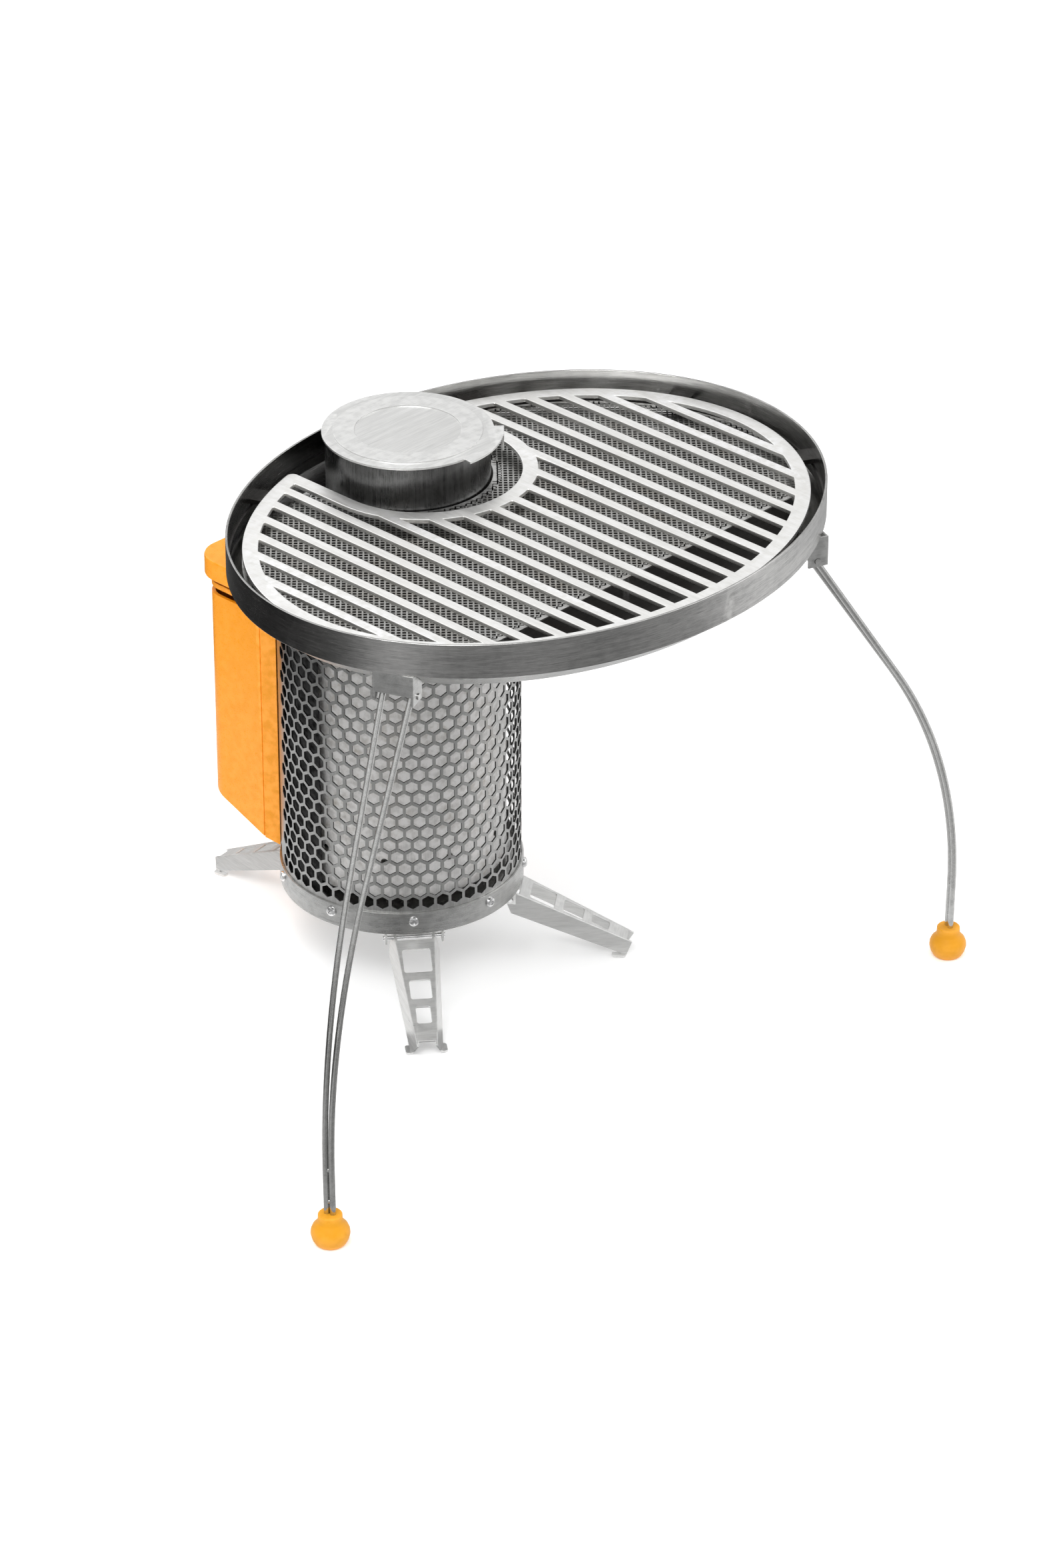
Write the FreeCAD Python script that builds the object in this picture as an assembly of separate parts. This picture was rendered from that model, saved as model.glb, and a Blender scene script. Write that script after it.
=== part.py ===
"""Wood-burning camp stove with a clip-on fan module and an oval grill on top.

Millimetres, Z up.  The model is laid out about the stove's axis, with the
ground at Z = 0, the fan module towards +Y and the grill reaching out towards
-Y.  At the very end every piece is moved by the same amount, so that the
origin is the middle of the footprint of the whole object.
"""
import FreeCAD
import Part
import math
import os

V = FreeCAD.Vector
UP = V(0, 0, 1)

# Stove body
SHELL_R = 63.0
SHELL_WALL = 0.5
BASE_WALL = 1.2
BASE_BOTTOM_Z = 38.0
BASE_TALL = 12.5
BASE_PLATE = 0.8
BASE_PLATE_RISE = 10.0
SHELL_FOOT_RISE = 5.0
BODY_TALL = 224.0
AIR_SPACE = 8.0
CHAMBER_WALL = 0.5
CHAMBER_RISE = 22.0
CHAMBER_FLOOR = 0.8
CHAMBER_SKIRT = 5.2
BAFFLE_GAP = 3.5
BAFFLE_WALL = 0.4
BAFFLE_DEG = (-1.0, 181.0)
JET_R = 2.0
JET_COUNT = 10
JET_LOW_RISE = 16.0
JET_HIGH_DROP = 30.0
GRATE_HOLE_R = 4.0
GRATE_HOLE_RINGS = ((6, 20.0), (12, 38.0))
TOP_SHEET = 1.2
TOP_SKIRT = 12.0
TOP_LIP = 2.2

BASE_R = SHELL_R + BASE_WALL
BASE_TOP_Z = BASE_BOTTOM_Z + BASE_TALL
BASE_PLATE_Z = BASE_BOTTOM_Z + BASE_PLATE_RISE
SHELL_FOOT_Z = BASE_BOTTOM_Z + SHELL_FOOT_RISE
TOP_Z = BASE_BOTTOM_Z + BODY_TALL
CHAMBER_R = SHELL_R - AIR_SPACE
CHAMBER_FLOOR_Z = BASE_BOTTOM_Z + CHAMBER_RISE
BAFFLE_R = SHELL_R - BAFFLE_GAP
JET_ROWS_Z = (CHAMBER_FLOOR_Z + JET_LOW_RISE, TOP_Z - JET_HIGH_DROP)
TOP_OPENING_R = CHAMBER_R - CHAMBER_WALL - TOP_LIP

# Base ring screws
SCREW_COUNT = 9
SCREW_FIRST_DEG = -129.5
SCREW_RISE = 8.0
SCREW_R = 1.5
SCREW_POINT = 0.5
SCREW_HEAD_R = 2.8
SCREW_HEAD = 1.8
SCREW_SOCKET_R = 1.2
SCREW_SOCKET = 1.0

SCREW_Z = BASE_BOTTOM_Z + SCREW_RISE
SCREW_IN_R = SHELL_R - SHELL_WALL - SCREW_POINT

# Folding sheet-metal legs of the stove
LEGS = {
    "stove_leg_left": -129.0,
    "stove_leg_right": -53.0,
    "stove_leg_rear": 98.0,
}
LEG_HINGE_INSET = 3.5
LEG_HINGE_DROP = 4.0
LEG_SLOPE_DEG = 24.9
LEG_SHEET = 1.2
LEG_WEB_RISE = 2.0
LEG_ROOT_W = 21.4
LEG_TIP_W = 10.6
LEG_ROOT_DEPTH = 11.0
LEG_TIP_DEPTH = 7.0
LEG_SPLAY = 3.2
LEG_EYE = 3.0
LEG_EYE_DROP = 4.5
LEG_HEEL_RUN = 4.5
LEG_WEB_START = 3.4
LEG_WEB_END_GAP = 3.0
WINDOWS = ((9.5, 14.0, 14.5), (28.5, 11.5, 11.0), (45.0, 10.0, 7.5))
WINDOW_ROUND = 1.2
TOE_LEN = 7.5
TOE_OUT = 3.6
TOE_T = 1.4
TOE_SINK = 0.4
PIN_R = 1.25
PIN_RUN_GAP = 0.05
BRACKET_SHEET = 1.2
BRACKET_SIDE_GAP = 0.3
EAR_DROP = 2.6
EAR_LOW_HALF = 2.9
EAR_HIGH_X = (-6.0, 0.4)
EAR_WAIST_GAP = 0.4
PIN_STANDOUT = 0.8

LEG_HINGE_R = SHELL_R - LEG_HINGE_INSET
LEG_HINGE_Z = BASE_BOTTOM_Z - LEG_HINGE_DROP

# Fan module
MODULE_HALF_W = 41.5
MODULE_DEPTH = 40.5
MODULE_CORNER_R = 12.0
MODULE_WALL = 2.0
MODULE_SHELL_GAP = 0.6
MODULE_LOW_IN = 13.7
MODULE_LOW_RISE = 10.0
MODULE_SLANT_RISE = 20.0
MODULE_TOP_DROP = 59.0
MODULE_CREASE_IN = 3.0
MODULE_NECK_HALF = 37.0
MODULE_NECK_IN = 14.0
MODULE_GROOVE_OUT = 0.5
MODULE_GROOVE = 0.6
CAP_SHEET = 3.0
CAP_LIP = 11.5
CAP_OVERHANG = 3.5
CAP_WALL = 2.0
BACK_SHEET = 1.2
BACK_HALF_W = 34.0
BACK_LOW_DROP = 2.0
BACK_HIGH_DROP = 11.0
AIR_PORT_R = 16.5
AIR_PORT_RISE = 36.0
VENT_ROWS = ((18.4, 3.8), (11.6, 2.6))
VENT_IN_X = 24.0
VENT_OUT = 1.0
RIVET_R = 2.0
RIVET_X = 28.0
RIVET_INSET = 8.0

MODULE_OUT_Y = SHELL_R + MODULE_DEPTH
MODULE_LOW_Y = SHELL_R - MODULE_LOW_IN
MODULE_LOW_Z = BASE_BOTTOM_Z + MODULE_LOW_RISE
MODULE_LOW_OUT_Z = MODULE_LOW_Z + MODULE_SLANT_RISE
MODULE_TOP_Z = TOP_Z - MODULE_TOP_DROP
MODULE_CREASE_Y = SHELL_R - MODULE_CREASE_IN
MODULE_NECK_Y = SHELL_R - MODULE_NECK_IN
MODULE_GROOVE_Y = MODULE_CREASE_Y + MODULE_GROOVE_OUT
CAP_TOP_Z = MODULE_TOP_Z + CAP_SHEET
BACK_Z = (MODULE_LOW_OUT_Z - BACK_LOW_DROP, MODULE_TOP_Z - BACK_HIGH_DROP)
AIR_PORT_Z = CHAMBER_FLOOR_Z + AIR_PORT_RISE
VENT_IN_Y = SHELL_R + VENT_OUT
RIVET_Z = (BACK_Z[0] + RIVET_INSET, BACK_Z[1] - RIVET_INSET)

# Heat probe and what it drives
PROBE_R = 6.0
PROBE_DROP = 38.0
PROBE_REACH = 23.0
PROBE_PORT_GAP = 0.6
PROBE_PLATE = 3.0
PROBE_PLATE_W = 34.0
PROBE_PLATE_OUT = 5.5
TEG_W = 30.0
TEG_T = 3.5
SINK_W = 40.0
SINK_BASE = 4.0
SINK_FINS = 8
FIN_T = 1.6
FIN_DEPTH = 14.0

PROBE_Z = MODULE_TOP_Z - PROBE_DROP
PROBE_TIP_Y = CHAMBER_R - PROBE_REACH
PROBE_PLATE_Y = SHELL_R + PROBE_PLATE_OUT

# Circuit board, battery, fan, socket and switch
BOARD_IN = 8.0
BOARD_T = 1.6
BOARD_HALF_W = 34.0
BOARD_RISE = 14.0
BOARD_TALL = 59.0
BOSS_R = 3.0
BOSS_INSET = 4.6
BATTERY_R = 9.0
BATTERY_X = -27.5
BATTERY_LEN = 52.0
MOTOR_R = 7.5
MOTOR_LEN = 11.5
SHAFT_R = 1.0
SHAFT_LEN = 8.0
SHAFT_GAP = 0.05
HUB_R = 6.0
HUB_LEN = 8.0
HUB_MOTOR_GAP = 1.2
BLADE_COUNT = 7
BLADE_R = 15.0
BLADE_T = 1.0
BLADE_CHORD = 8.0
BLADE_PITCH_DEG = 38.0
CONTROLS_RISE = 40.0
USB_X = 13.0
USB_W = 13.2
USB_H = 5.8
USB_SHEET = 0.6
USB_GAP = 0.25
USB_TONGUE = 1.8
BUTTON_X = -10.0
BUTTON_R = 6.0
BUTTON_GAP = 0.1
BUTTON_OUT = 1.3
BUTTON_FLANGE = 1.2
BUTTON_FLANGE_T = 1.5
SWITCH_R = 2.0
SWITCH_STROKE = 1.1

BOARD_Y = MODULE_OUT_Y - BOARD_IN
BOARD_Z = (MODULE_LOW_OUT_Z + BOARD_RISE, MODULE_LOW_OUT_Z + BOARD_RISE + BOARD_TALL)
USB_Z = BOARD_Z[0] + CONTROLS_RISE
BUTTON_Z = BOARD_Z[0] + CONTROLS_RISE

# Oval grill: rim and pan
GRILL_Y = -93.0
RIM_A = 165.0
RIM_B = 133.0
RIM_TALL = 18.0
RIM_WALL = 1.2
PAN_DEPTH = 10.0
PAN_SHEET = 0.6
PAN_TAPER = 12.0
PAN_FLANGE = 5.0
LUG_GAP = 0.7
LUG_T = 1.2
LUG_DROP = 6.0
LUGS_DEG = ((-112.0, -68.0), (-8.0, 18.0), (162.0, 188.0))

RIM_BOTTOM_Z = TOP_Z + PAN_DEPTH
RIM_TOP_Z = RIM_BOTTOM_Z + RIM_TALL

# Fuel port collar and its lid
PORT_Y = -8.0
PORT_INSET = 10.3
COLLAR_WALL = 1.0
COLLAR_RISE = 9.0
COLLAR_FLANGE = 5.0
PORT_BACK_RUN = 28.0
LID_OVERHANG = 1.7
LID_T = 1.2
LID_STEP = 0.6
LID_STEP_IN = (16.7, 5.7)
LID_SPIGOT = 3.0
LID_SPIGOT_WALL = 1.2
LID_SPIGOT_GAP = 0.5
LID_EAR_OUT = 4.8
EAR_DEG = (-95.0, -40.0)
TONGUE_W = 10.0
TONGUE_LEN = 9.5

COLLAR_R = TOP_OPENING_R - PORT_INSET
COLLAR_TOP_Z = RIM_TOP_Z + COLLAR_RISE
PORT_BACK_Y = PORT_Y + PORT_BACK_RUN
LID_R = COLLAR_R + LID_OVERHANG
LID_STEP_R = (LID_R - LID_STEP_IN[0], LID_R - LID_STEP_IN[1])
EAR_R = LID_R + LID_EAR_OUT

# Diffuser plate, its posts placed from the grill's middle
DIFFUSER_RISE = 3.0
DIFFUSER_T = 0.6
DIFFUSER_INSET = 8.0
DIFFUSER_FRONT = 72.0
DIFFUSER_BACK = 107.0
DIFFUSER_PORT_GAP = 1.0
POST_R = 2.5
POSTS = ((-118, 23), (118, 23), (-80, -57), (80, -57), (0, -65))

DIFFUSER_Z = RIM_BOTTOM_Z + DIFFUSER_RISE
DIFFUSER_FRONT_Y = GRILL_Y - DIFFUSER_FRONT
DIFFUSER_BACK_Y = GRILL_Y + DIFFUSER_BACK

# Cooking grate and its ledges
GRATE_DROP = 7.0
GRATE_T = 2.2
GRATE_GAP = 7.0
FRAME_W = 8.0
BAR_W = 5.5
BAR_PITCH = 14.6
GRATE_PORT_IN = 11.0
GRATE_PORT_MARGIN = 8.0
HORN_ROUND = 3.5
LEDGE_DEG = (18.0, 62.0, 118.0, 162.0, 204.0, 246.0, 294.0, 336.0)
LEDGE_W = 12.0
LEDGE_REACH = 12.5
LEDGE_T = 2.5

GRATE_TOP_Z = RIM_TOP_Z - GRATE_DROP
GRATE_PORT_Y = PORT_Y - GRATE_PORT_IN
GRATE_PORT_R = COLLAR_R + GRATE_PORT_MARGIN

# Folding wire legs of the grill: where on the oval, how far in, and which way they stand out
WIRE_LEGS = {
    "left": (-155.73, 6.49, (-0.926, -0.378)),
    "right": (-50.75, 7.74, (0.939, -0.344)),
}
WIRE_R = 1.5
WIRE_HINGE_DROP = 13.0
WIRE_FOOT_RUN = 91.0
WIRE_KNEE = (93.0, 142.0)
WIRE_KNEE_TANGENT = 74.0
WIRE_TOP_HALF = 7.4
WIRE_LOW_HALF = 1.6
WIRE_END_Z = 5.0
WELD_R = 1.1
WELD_SHARES = (0.02, 0.5, 0.9)
EYE_HALF_W = 10.6
EYE_SHEET = 1.2
EYE_BACK = 5.0
EYE_FRONT = 6.0
EYE_DROP = 3.2
EYE_FACE_DROP = 1.6
PIVOT_GAP = 0.05
PIVOT_STANDOUT = 0.7
FOOT_PROFILE = ((7.0, 0.0), (8.4, 2.0), (9.75, 6.0), (9.2, 9.5), (6.4, 12.5), (6.0, 17.0))

WIRE_HINGE_Z = RIM_BOTTOM_Z - WIRE_HINGE_DROP

# Fineness of the facets that the overall box is measured on
BOX_FACET = 0.05

pieces = {}


def cylinder(radius, z0, z1, x=0.0, y=0.0):
    return Part.makeCylinder(radius, z1 - z0, V(x, y, z0))


def tube(outer, inner, z0, z1, x=0.0, y=0.0):
    return cylinder(outer, z0, z1, x, y).cut(cylinder(inner, z0, z1, x, y))


def rod(radius, start, end):
    """A round bar from one point to another."""
    run = end.sub(start)
    return Part.makeCylinder(radius, run.Length, start, run)


def block(x0, x1, y0, y1, z0, z1):
    return Part.makeBox(x1 - x0, y1 - y0, z1 - z0, V(x0, y0, z0))


def prism(points, z0, z1):
    """An upright prism on a closed outline of (x, y) points."""
    outline = Part.makePolygon([V(x, y, z0) for x, y in list(points) + [points[0]]])
    return Part.Face(outline).extrude(V(0, 0, z1 - z0))


def turned(profile, x=0.0, y=0.0):
    """A solid of revolution from (radius, height) points about an upright axis."""
    outline = Part.makePolygon([V(x + r, y, z) for r, z in list(profile) + [profile[0]]])
    return Part.Face(outline).revolve(V(x, y, 0), UP, 360)


def sector(outer, inner, z0, z1, deg0, deg1, x=0.0, y=0.0):
    """Part of an upright tube, between two directions seen from above."""
    wedge = Part.makeCylinder(outer, z1 - z0, V(x, y, z0), UP, deg1 - deg0)
    wedge.rotate(V(x, y, 0), UP, deg0)
    return wedge.cut(cylinder(inner, z0, z1, x, y))


def joined(shapes):
    first = shapes[0]
    return first.fuse(shapes[1:]).removeSplitter() if len(shapes) > 1 else first


def less(shape, tools):
    return shape.cut(Part.makeCompound(tools)) if tools else shape


def turned_about_z(shape, deg):
    copy = shape.copy()
    copy.rotate(V(0, 0, 0), UP, deg)
    return copy


def ellipse_wire(inset, z):
    curve = Part.Ellipse(V(0, GRILL_Y, z), RIM_A - inset, RIM_B - inset)
    return Part.Wire([curve.toShape()])


def oval(inset, z0, z1):
    """An upright oval block, the rim's outline drawn in by a distance."""
    return Part.Face(ellipse_wire(inset, z0)).extrude(V(0, 0, z1 - z0))


def oval_bowl(inset, z0, z1, top):
    """The oval, tapered between z0 and z1 and upright from there to the top."""
    taper = Part.makeLoft([ellipse_wire(inset + PAN_TAPER, z0), ellipse_wire(inset, z1)], True, True)
    return taper.fuse(oval(inset, z1, top))


def u_block(radius, back_y, z0, z1):
    """A round-fronted block about the fuel port, open towards the back."""
    return cylinder(radius, z0, z1, 0, PORT_Y).fuse(block(-radius, radius, PORT_Y, back_y, z0, z1))


# Stove body
def stove_body():
    plate_top = BASE_PLATE_Z + BASE_PLATE
    under_top = TOP_Z - TOP_SHEET
    shell_in = SHELL_R - SHELL_WALL
    chamber_in = CHAMBER_R - CHAMBER_WALL

    shanks = []
    screws = []
    for index in range(SCREW_COUNT):
        deg = SCREW_FIRST_DEG + index * 360.0 / SCREW_COUNT
        shank = rod(SCREW_R, V(SCREW_IN_R, 0, SCREW_Z), V(BASE_R, 0, SCREW_Z))
        head = rod(SCREW_HEAD_R, V(BASE_R, 0, SCREW_Z), V(BASE_R + SCREW_HEAD, 0, SCREW_Z))
        socket = rod(SCREW_SOCKET_R, V(BASE_R + SCREW_HEAD - SCREW_SOCKET, 0, SCREW_Z),
                     V(BASE_R + SCREW_HEAD, 0, SCREW_Z))
        screws.append(turned_about_z(shank.fuse(head).cut(socket), deg))
        shanks.append(turned_about_z(shank, deg))
    pieces["ring_screws"] = Part.makeCompound(screws)
    pieces["base_ring"] = less(tube(BASE_R, SHELL_R, BASE_BOTTOM_Z, BASE_TOP_Z), shanks)
    pieces["base_plate"] = cylinder(shell_in, BASE_PLATE_Z, plate_top)

    probe_hole = rod(PROBE_R + PROBE_PORT_GAP, V(0, 0, PROBE_Z), V(0, SHELL_R + 1, PROBE_Z))
    air_hole = rod(AIR_PORT_R, V(0, CHAMBER_R + 1, AIR_PORT_Z), V(0, SHELL_R + 1, AIR_PORT_Z))
    shell = tube(SHELL_R, shell_in, SHELL_FOOT_Z, under_top)
    pieces["perforated_shell"] = less(shell, shanks + [probe_hole, air_hole])
    baffle = sector(BAFFLE_R, BAFFLE_R - BAFFLE_WALL, plate_top, under_top, BAFFLE_DEG[0], BAFFLE_DEG[1])
    pieces["air_baffle"] = less(baffle, [probe_hole, air_hole])

    chamber = tube(CHAMBER_R, chamber_in, CHAMBER_FLOOR_Z - CHAMBER_SKIRT, under_top)
    floor = cylinder(chamber_in, CHAMBER_FLOOR_Z, CHAMBER_FLOOR_Z + CHAMBER_FLOOR)
    holes = [probe_hole]
    for row, z in enumerate(JET_ROWS_Z):
        for index in range(JET_COUNT):
            deg = (index + 0.5 * row) * 360.0 / JET_COUNT
            jet = rod(JET_R, V(chamber_in - 1, 0, z), V(CHAMBER_R + 1, 0, z))
            holes.append(turned_about_z(jet, deg))
    for count, radius in GRATE_HOLE_RINGS:
        for index in range(count):
            hole = cylinder(GRATE_HOLE_R, CHAMBER_FLOOR_Z, CHAMBER_FLOOR_Z + CHAMBER_FLOOR, radius)
            holes.append(turned_about_z(hole, index * 360.0 / count))
    pieces["burn_chamber"] = less(joined([chamber, floor]), holes)

    top = turned([
        (TOP_OPENING_R, TOP_Z),
        (BASE_R, TOP_Z),
        (BASE_R, TOP_Z - TOP_SKIRT),
        (SHELL_R, TOP_Z - TOP_SKIRT),
        (SHELL_R, under_top),
        (TOP_OPENING_R + TOP_SHEET, under_top),
        (TOP_OPENING_R + TOP_SHEET, TOP_Z - TOP_SKIRT),
        (TOP_OPENING_R, TOP_Z - TOP_SKIRT),
    ])
    pieces["top_ring"] = top


# Folding legs of the stove
def leg_side(half_root, half_tip, length):
    """One splayed side of a leg as (station, y, z) sections, outer face first."""
    sections = []
    top = LEG_WEB_RISE
    for x, half, depth in ((-LEG_EYE, half_root, LEG_ROOT_DEPTH), (length, half_tip, LEG_TIP_DEPTH)):
        corners = [(half, top), (half + LEG_SPLAY, top - depth),
                   (half + LEG_SPLAY - LEG_SHEET, top - depth), (half - LEG_SHEET, top)]
        sections.append(Part.makePolygon([V(x, y, z) for y, z in corners + corners[:1]]))
    return Part.makeLoft(sections, True, True)


def stove_leg():
    """A leg reaching out along +X from its pin at the origin, its channel open downwards."""
    slope = math.radians(LEG_SLOPE_DEG)
    low_tip = LEG_WEB_RISE - LEG_TIP_DEPTH
    length = (LEG_HINGE_Z - TOE_SINK + low_tip * math.cos(slope)) / math.sin(slope)
    root = LEG_ROOT_W / 2
    tip = LEG_TIP_W / 2
    side = leg_side(root, tip, length)
    sides = [side, side.mirror(V(0, 0, 0), V(0, 1, 0))]
    web_end = length - LEG_WEB_END_GAP
    taper = (root - tip) / (length + LEG_EYE)
    outline = [(x, root - LEG_SHEET / 2 - taper * (x + LEG_EYE)) for x in (LEG_WEB_START, web_end)]
    outline += [(x, -y) for x, y in reversed(outline)]
    web = prism(outline, LEG_WEB_RISE - LEG_SHEET, LEG_WEB_RISE)
    wide = root + LEG_SPLAY + 1
    low_root = LEG_WEB_RISE - LEG_ROOT_DEPTH
    heel = [(-LEG_EYE - 1, LEG_WEB_RISE - LEG_EYE_DROP + 1), (LEG_HEEL_RUN + 1, low_root - 1),
            (-LEG_EYE - 1, low_root - 1)]
    heel = Part.Face(Part.makePolygon([V(x, -wide, z) for x, z in heel + heel[:1]]))
    cuts = [heel.extrude(V(0, 2 * wide, 0))]
    for start, run, width in WINDOWS:
        window = block(start, start + run, -width / 2, width / 2, 0, LEG_WEB_RISE + 1)
        upright = [e for e in window.Edges if abs(e.tangentAt(e.FirstParameter).z) > 0.9]
        cuts.append(window.makeFillet(WINDOW_ROUND, upright))
    cuts.append(rod(PIN_R + PIN_RUN_GAP, V(0, -wide, 0), V(0, wide, 0)))
    body = less(joined([web] + sides), cuts)
    body.rotate(V(0, 0, 0), V(0, 1, 0), LEG_SLOPE_DEG)
    toe_end = length * math.cos(slope) + low_tip * math.sin(slope)
    toes = []
    for edge in (-1, 1):
        inner = tip + LEG_SPLAY - LEG_SHEET
        y0, y1 = sorted((edge * inner, edge * (inner + TOE_OUT)))
        toe = block(toe_end - TOE_LEN, toe_end, y0, y1, -LEG_HINGE_Z, TOE_T - LEG_HINGE_Z)
        upright = [e for e in toe.Edges if abs(e.tangentAt(e.FirstParameter).z) > 0.9
                   and abs(e.CenterOfMass.y) > inner + TOE_OUT / 2]
        toes.append(toe.makeFillet(TOE_OUT / 2.5, upright))
    floor_y = wide + TOE_OUT
    under = block(0, length, -floor_y, floor_y, -LEG_HINGE_Z - LEG_ROOT_DEPTH, -LEG_HINGE_Z)
    return joined([body] + toes).cut(under)


def leg_bracket():
    """The two ears and the bridge that hold one leg's pin, leg towards +X."""
    ear_in = LEG_ROOT_W / 2 + LEG_SPLAY + BRACKET_SIDE_GAP
    ear_out = ear_in + BRACKET_SHEET
    top = BASE_PLATE_Z - LEG_HINGE_Z
    under = top - BRACKET_SHEET
    waist = BASE_BOTTOM_Z - EAR_WAIST_GAP - LEG_HINGE_Z
    back, front = EAR_HIGH_X
    parts = [block(back, front, -ear_out, ear_out, under, top)]
    for side in (-1, 1):
        y0, y1 = sorted((side * ear_in, side * ear_out))
        parts.append(block(-EAR_LOW_HALF, EAR_LOW_HALF, y0, y1, -EAR_DROP, waist))
        parts.append(block(back, front, y0, y1, waist, under))
    return joined(parts).cut(rod(PIN_R, V(0, -ear_out - 1, 0), V(0, ear_out + 1, 0)))


def stove_legs():
    reach = LEG_ROOT_W / 2 + LEG_SPLAY + BRACKET_SIDE_GAP + BRACKET_SHEET + PIN_STANDOUT
    pin = rod(PIN_R, V(0, -reach, 0), V(0, reach, 0))
    pins = []
    hinge = V(LEG_HINGE_R, 0, LEG_HINGE_Z)
    for name, deg in LEGS.items():
        for suffix, shape in (("", stove_leg()), ("_bracket", leg_bracket())):
            shape.translate(hinge)
            pieces[name + suffix] = turned_about_z(shape, deg)
        one = pin.copy()
        one.translate(hinge)
        pins.append(turned_about_z(one, deg))
    pieces["leg_hinge_pins"] = Part.makeCompound(pins)


# Fan module
def module_block(grow, z0, z1):
    """The module's plan, grown by a distance: rounded outside, drawn in towards the stove."""
    half = MODULE_HALF_W + grow
    neck_half = MODULE_NECK_HALF + grow
    outer_y = MODULE_OUT_Y + grow
    outline = [(neck_half, 0), (neck_half, MODULE_NECK_Y), (half, MODULE_CREASE_Y), (half, outer_y)]
    outline += [(-x, y) for x, y in reversed(outline)]
    body = prism(outline, z0, z1)
    corners = [e for e in body.Edges
               if abs(e.tangentAt(e.FirstParameter).z) > 0.9 and e.CenterOfMass.y > outer_y - 1]
    return body.makeFillet(MODULE_CORNER_R + grow, corners)


def below_slant(raised):
    """What lies under the module's slanted underside, raised by a distance."""
    y0 = MODULE_LOW_Y
    z0 = MODULE_LOW_Z
    rise = MODULE_SLANT_RISE / (MODULE_OUT_Y - y0)
    y1 = MODULE_OUT_Y + CAP_LIP
    wide = MODULE_HALF_W + CAP_LIP
    corners = [(0, z0 - rise * y0 + raised), (y1, z0 + rise * (y1 - y0) + raised), (y1, 0), (0, 0)]
    face = Part.Face(Part.makePolygon([V(-wide, y, z) for y, z in corners + corners[:1]]))
    return face.extrude(V(2 * wide, 0, 0))


def fan_module():
    plate_in = SHELL_R + MODULE_SHELL_GAP
    plate_out = plate_in + BACK_SHEET
    wall_in_y = MODULE_OUT_Y - MODULE_WALL

    outside = less(module_block(0, MODULE_LOW_Z, MODULE_TOP_Z),
                   [cylinder(plate_out, 0, CAP_TOP_Z), below_slant(0)])
    inside = less(module_block(-MODULE_WALL, MODULE_LOW_Z, MODULE_TOP_Z + 1),
                  [cylinder(plate_out + MODULE_WALL, 0, CAP_TOP_Z), below_slant(MODULE_WALL)])
    probe_hole = rod(PROBE_R, V(0, SHELL_R, PROBE_Z), V(0, PROBE_PLATE_Y, PROBE_Z))
    air_hole = rod(AIR_PORT_R, V(0, SHELL_R / 2, AIR_PORT_Z), V(0, PROBE_PLATE_Y, AIR_PORT_Z))
    vents = []
    wide = MODULE_HALF_W + 1
    for drop, height in VENT_ROWS:
        z = MODULE_TOP_Z - drop
        slot = module_block(1, z, z + height).cut(module_block(-MODULE_WALL - 1, z, z + height))
        for x0, x1 in ((-wide, -VENT_IN_X), (VENT_IN_X, wide)):
            vents.append(slot.common(block(x0, x1, VENT_IN_Y, MODULE_OUT_Y + 1, z, z + height)))
    for side in (-1, 1):
        x0, x1 = sorted((side * (MODULE_HALF_W - MODULE_GROOVE), side * wide))
        groove_end_y = MODULE_GROOVE_Y + MODULE_GROOVE
        vents.append(block(x0, x1, MODULE_GROOVE_Y, groove_end_y, MODULE_LOW_Z - 1, CAP_TOP_Z))
    usb_hole = block(USB_X - USB_W / 2 - USB_GAP, USB_X + USB_W / 2 + USB_GAP, wall_in_y - 1,
                     MODULE_OUT_Y + 1, USB_Z - USB_H / 2 - USB_GAP, USB_Z + USB_H / 2 + USB_GAP)
    button_hole = rod(BUTTON_R + BUTTON_GAP, V(BUTTON_X, wall_in_y - 1, BUTTON_Z),
                      V(BUTTON_X, MODULE_OUT_Y + 1, BUTTON_Z))
    rivets = []
    for x in (-RIVET_X, RIVET_X):
        for z in RIVET_Z:
            rivet = rod(RIVET_R, V(x, SHELL_R / 2, z), V(x, PROBE_PLATE_Y, z))
            ring = tube(plate_out + MODULE_WALL, plate_in, z - RIVET_R, z + RIVET_R)
            rivets.append(rivet.common(ring))
    pieces["back_plate_rivets"] = Part.makeCompound(rivets)

    bosses = []
    for x in (-BOARD_HALF_W + BOSS_INSET, BOARD_HALF_W - BOSS_INSET):
        for z in (BOARD_Z[0] + BOSS_INSET, BOARD_Z[1] - BOSS_INSET):
            bosses.append(rod(BOSS_R, V(x, BOARD_Y + BOARD_T, z), V(x, wall_in_y, z)))
    housing = joined([less(outside.cut(inside), vents)] + bosses)
    pieces["module_housing"] = less(housing, [probe_hole, air_hole, usb_hole, button_hole] + rivets)

    back = tube(plate_out, plate_in, BACK_Z[0], BACK_Z[1])
    back = back.common(block(-BACK_HALF_W, BACK_HALF_W, 0, plate_out, BACK_Z[0], BACK_Z[1]))
    pieces["module_back_plate"] = less(back, [probe_hole, air_hole] + rivets)

    lip_z = CAP_TOP_Z - CAP_LIP
    cap = module_block(CAP_OVERHANG, lip_z, CAP_TOP_Z)
    cap = less(cap, [module_block(CAP_OVERHANG - CAP_WALL, lip_z, MODULE_TOP_Z),
                     cylinder(plate_out, 0, CAP_TOP_Z)])
    pieces["module_cap"] = cap


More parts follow.
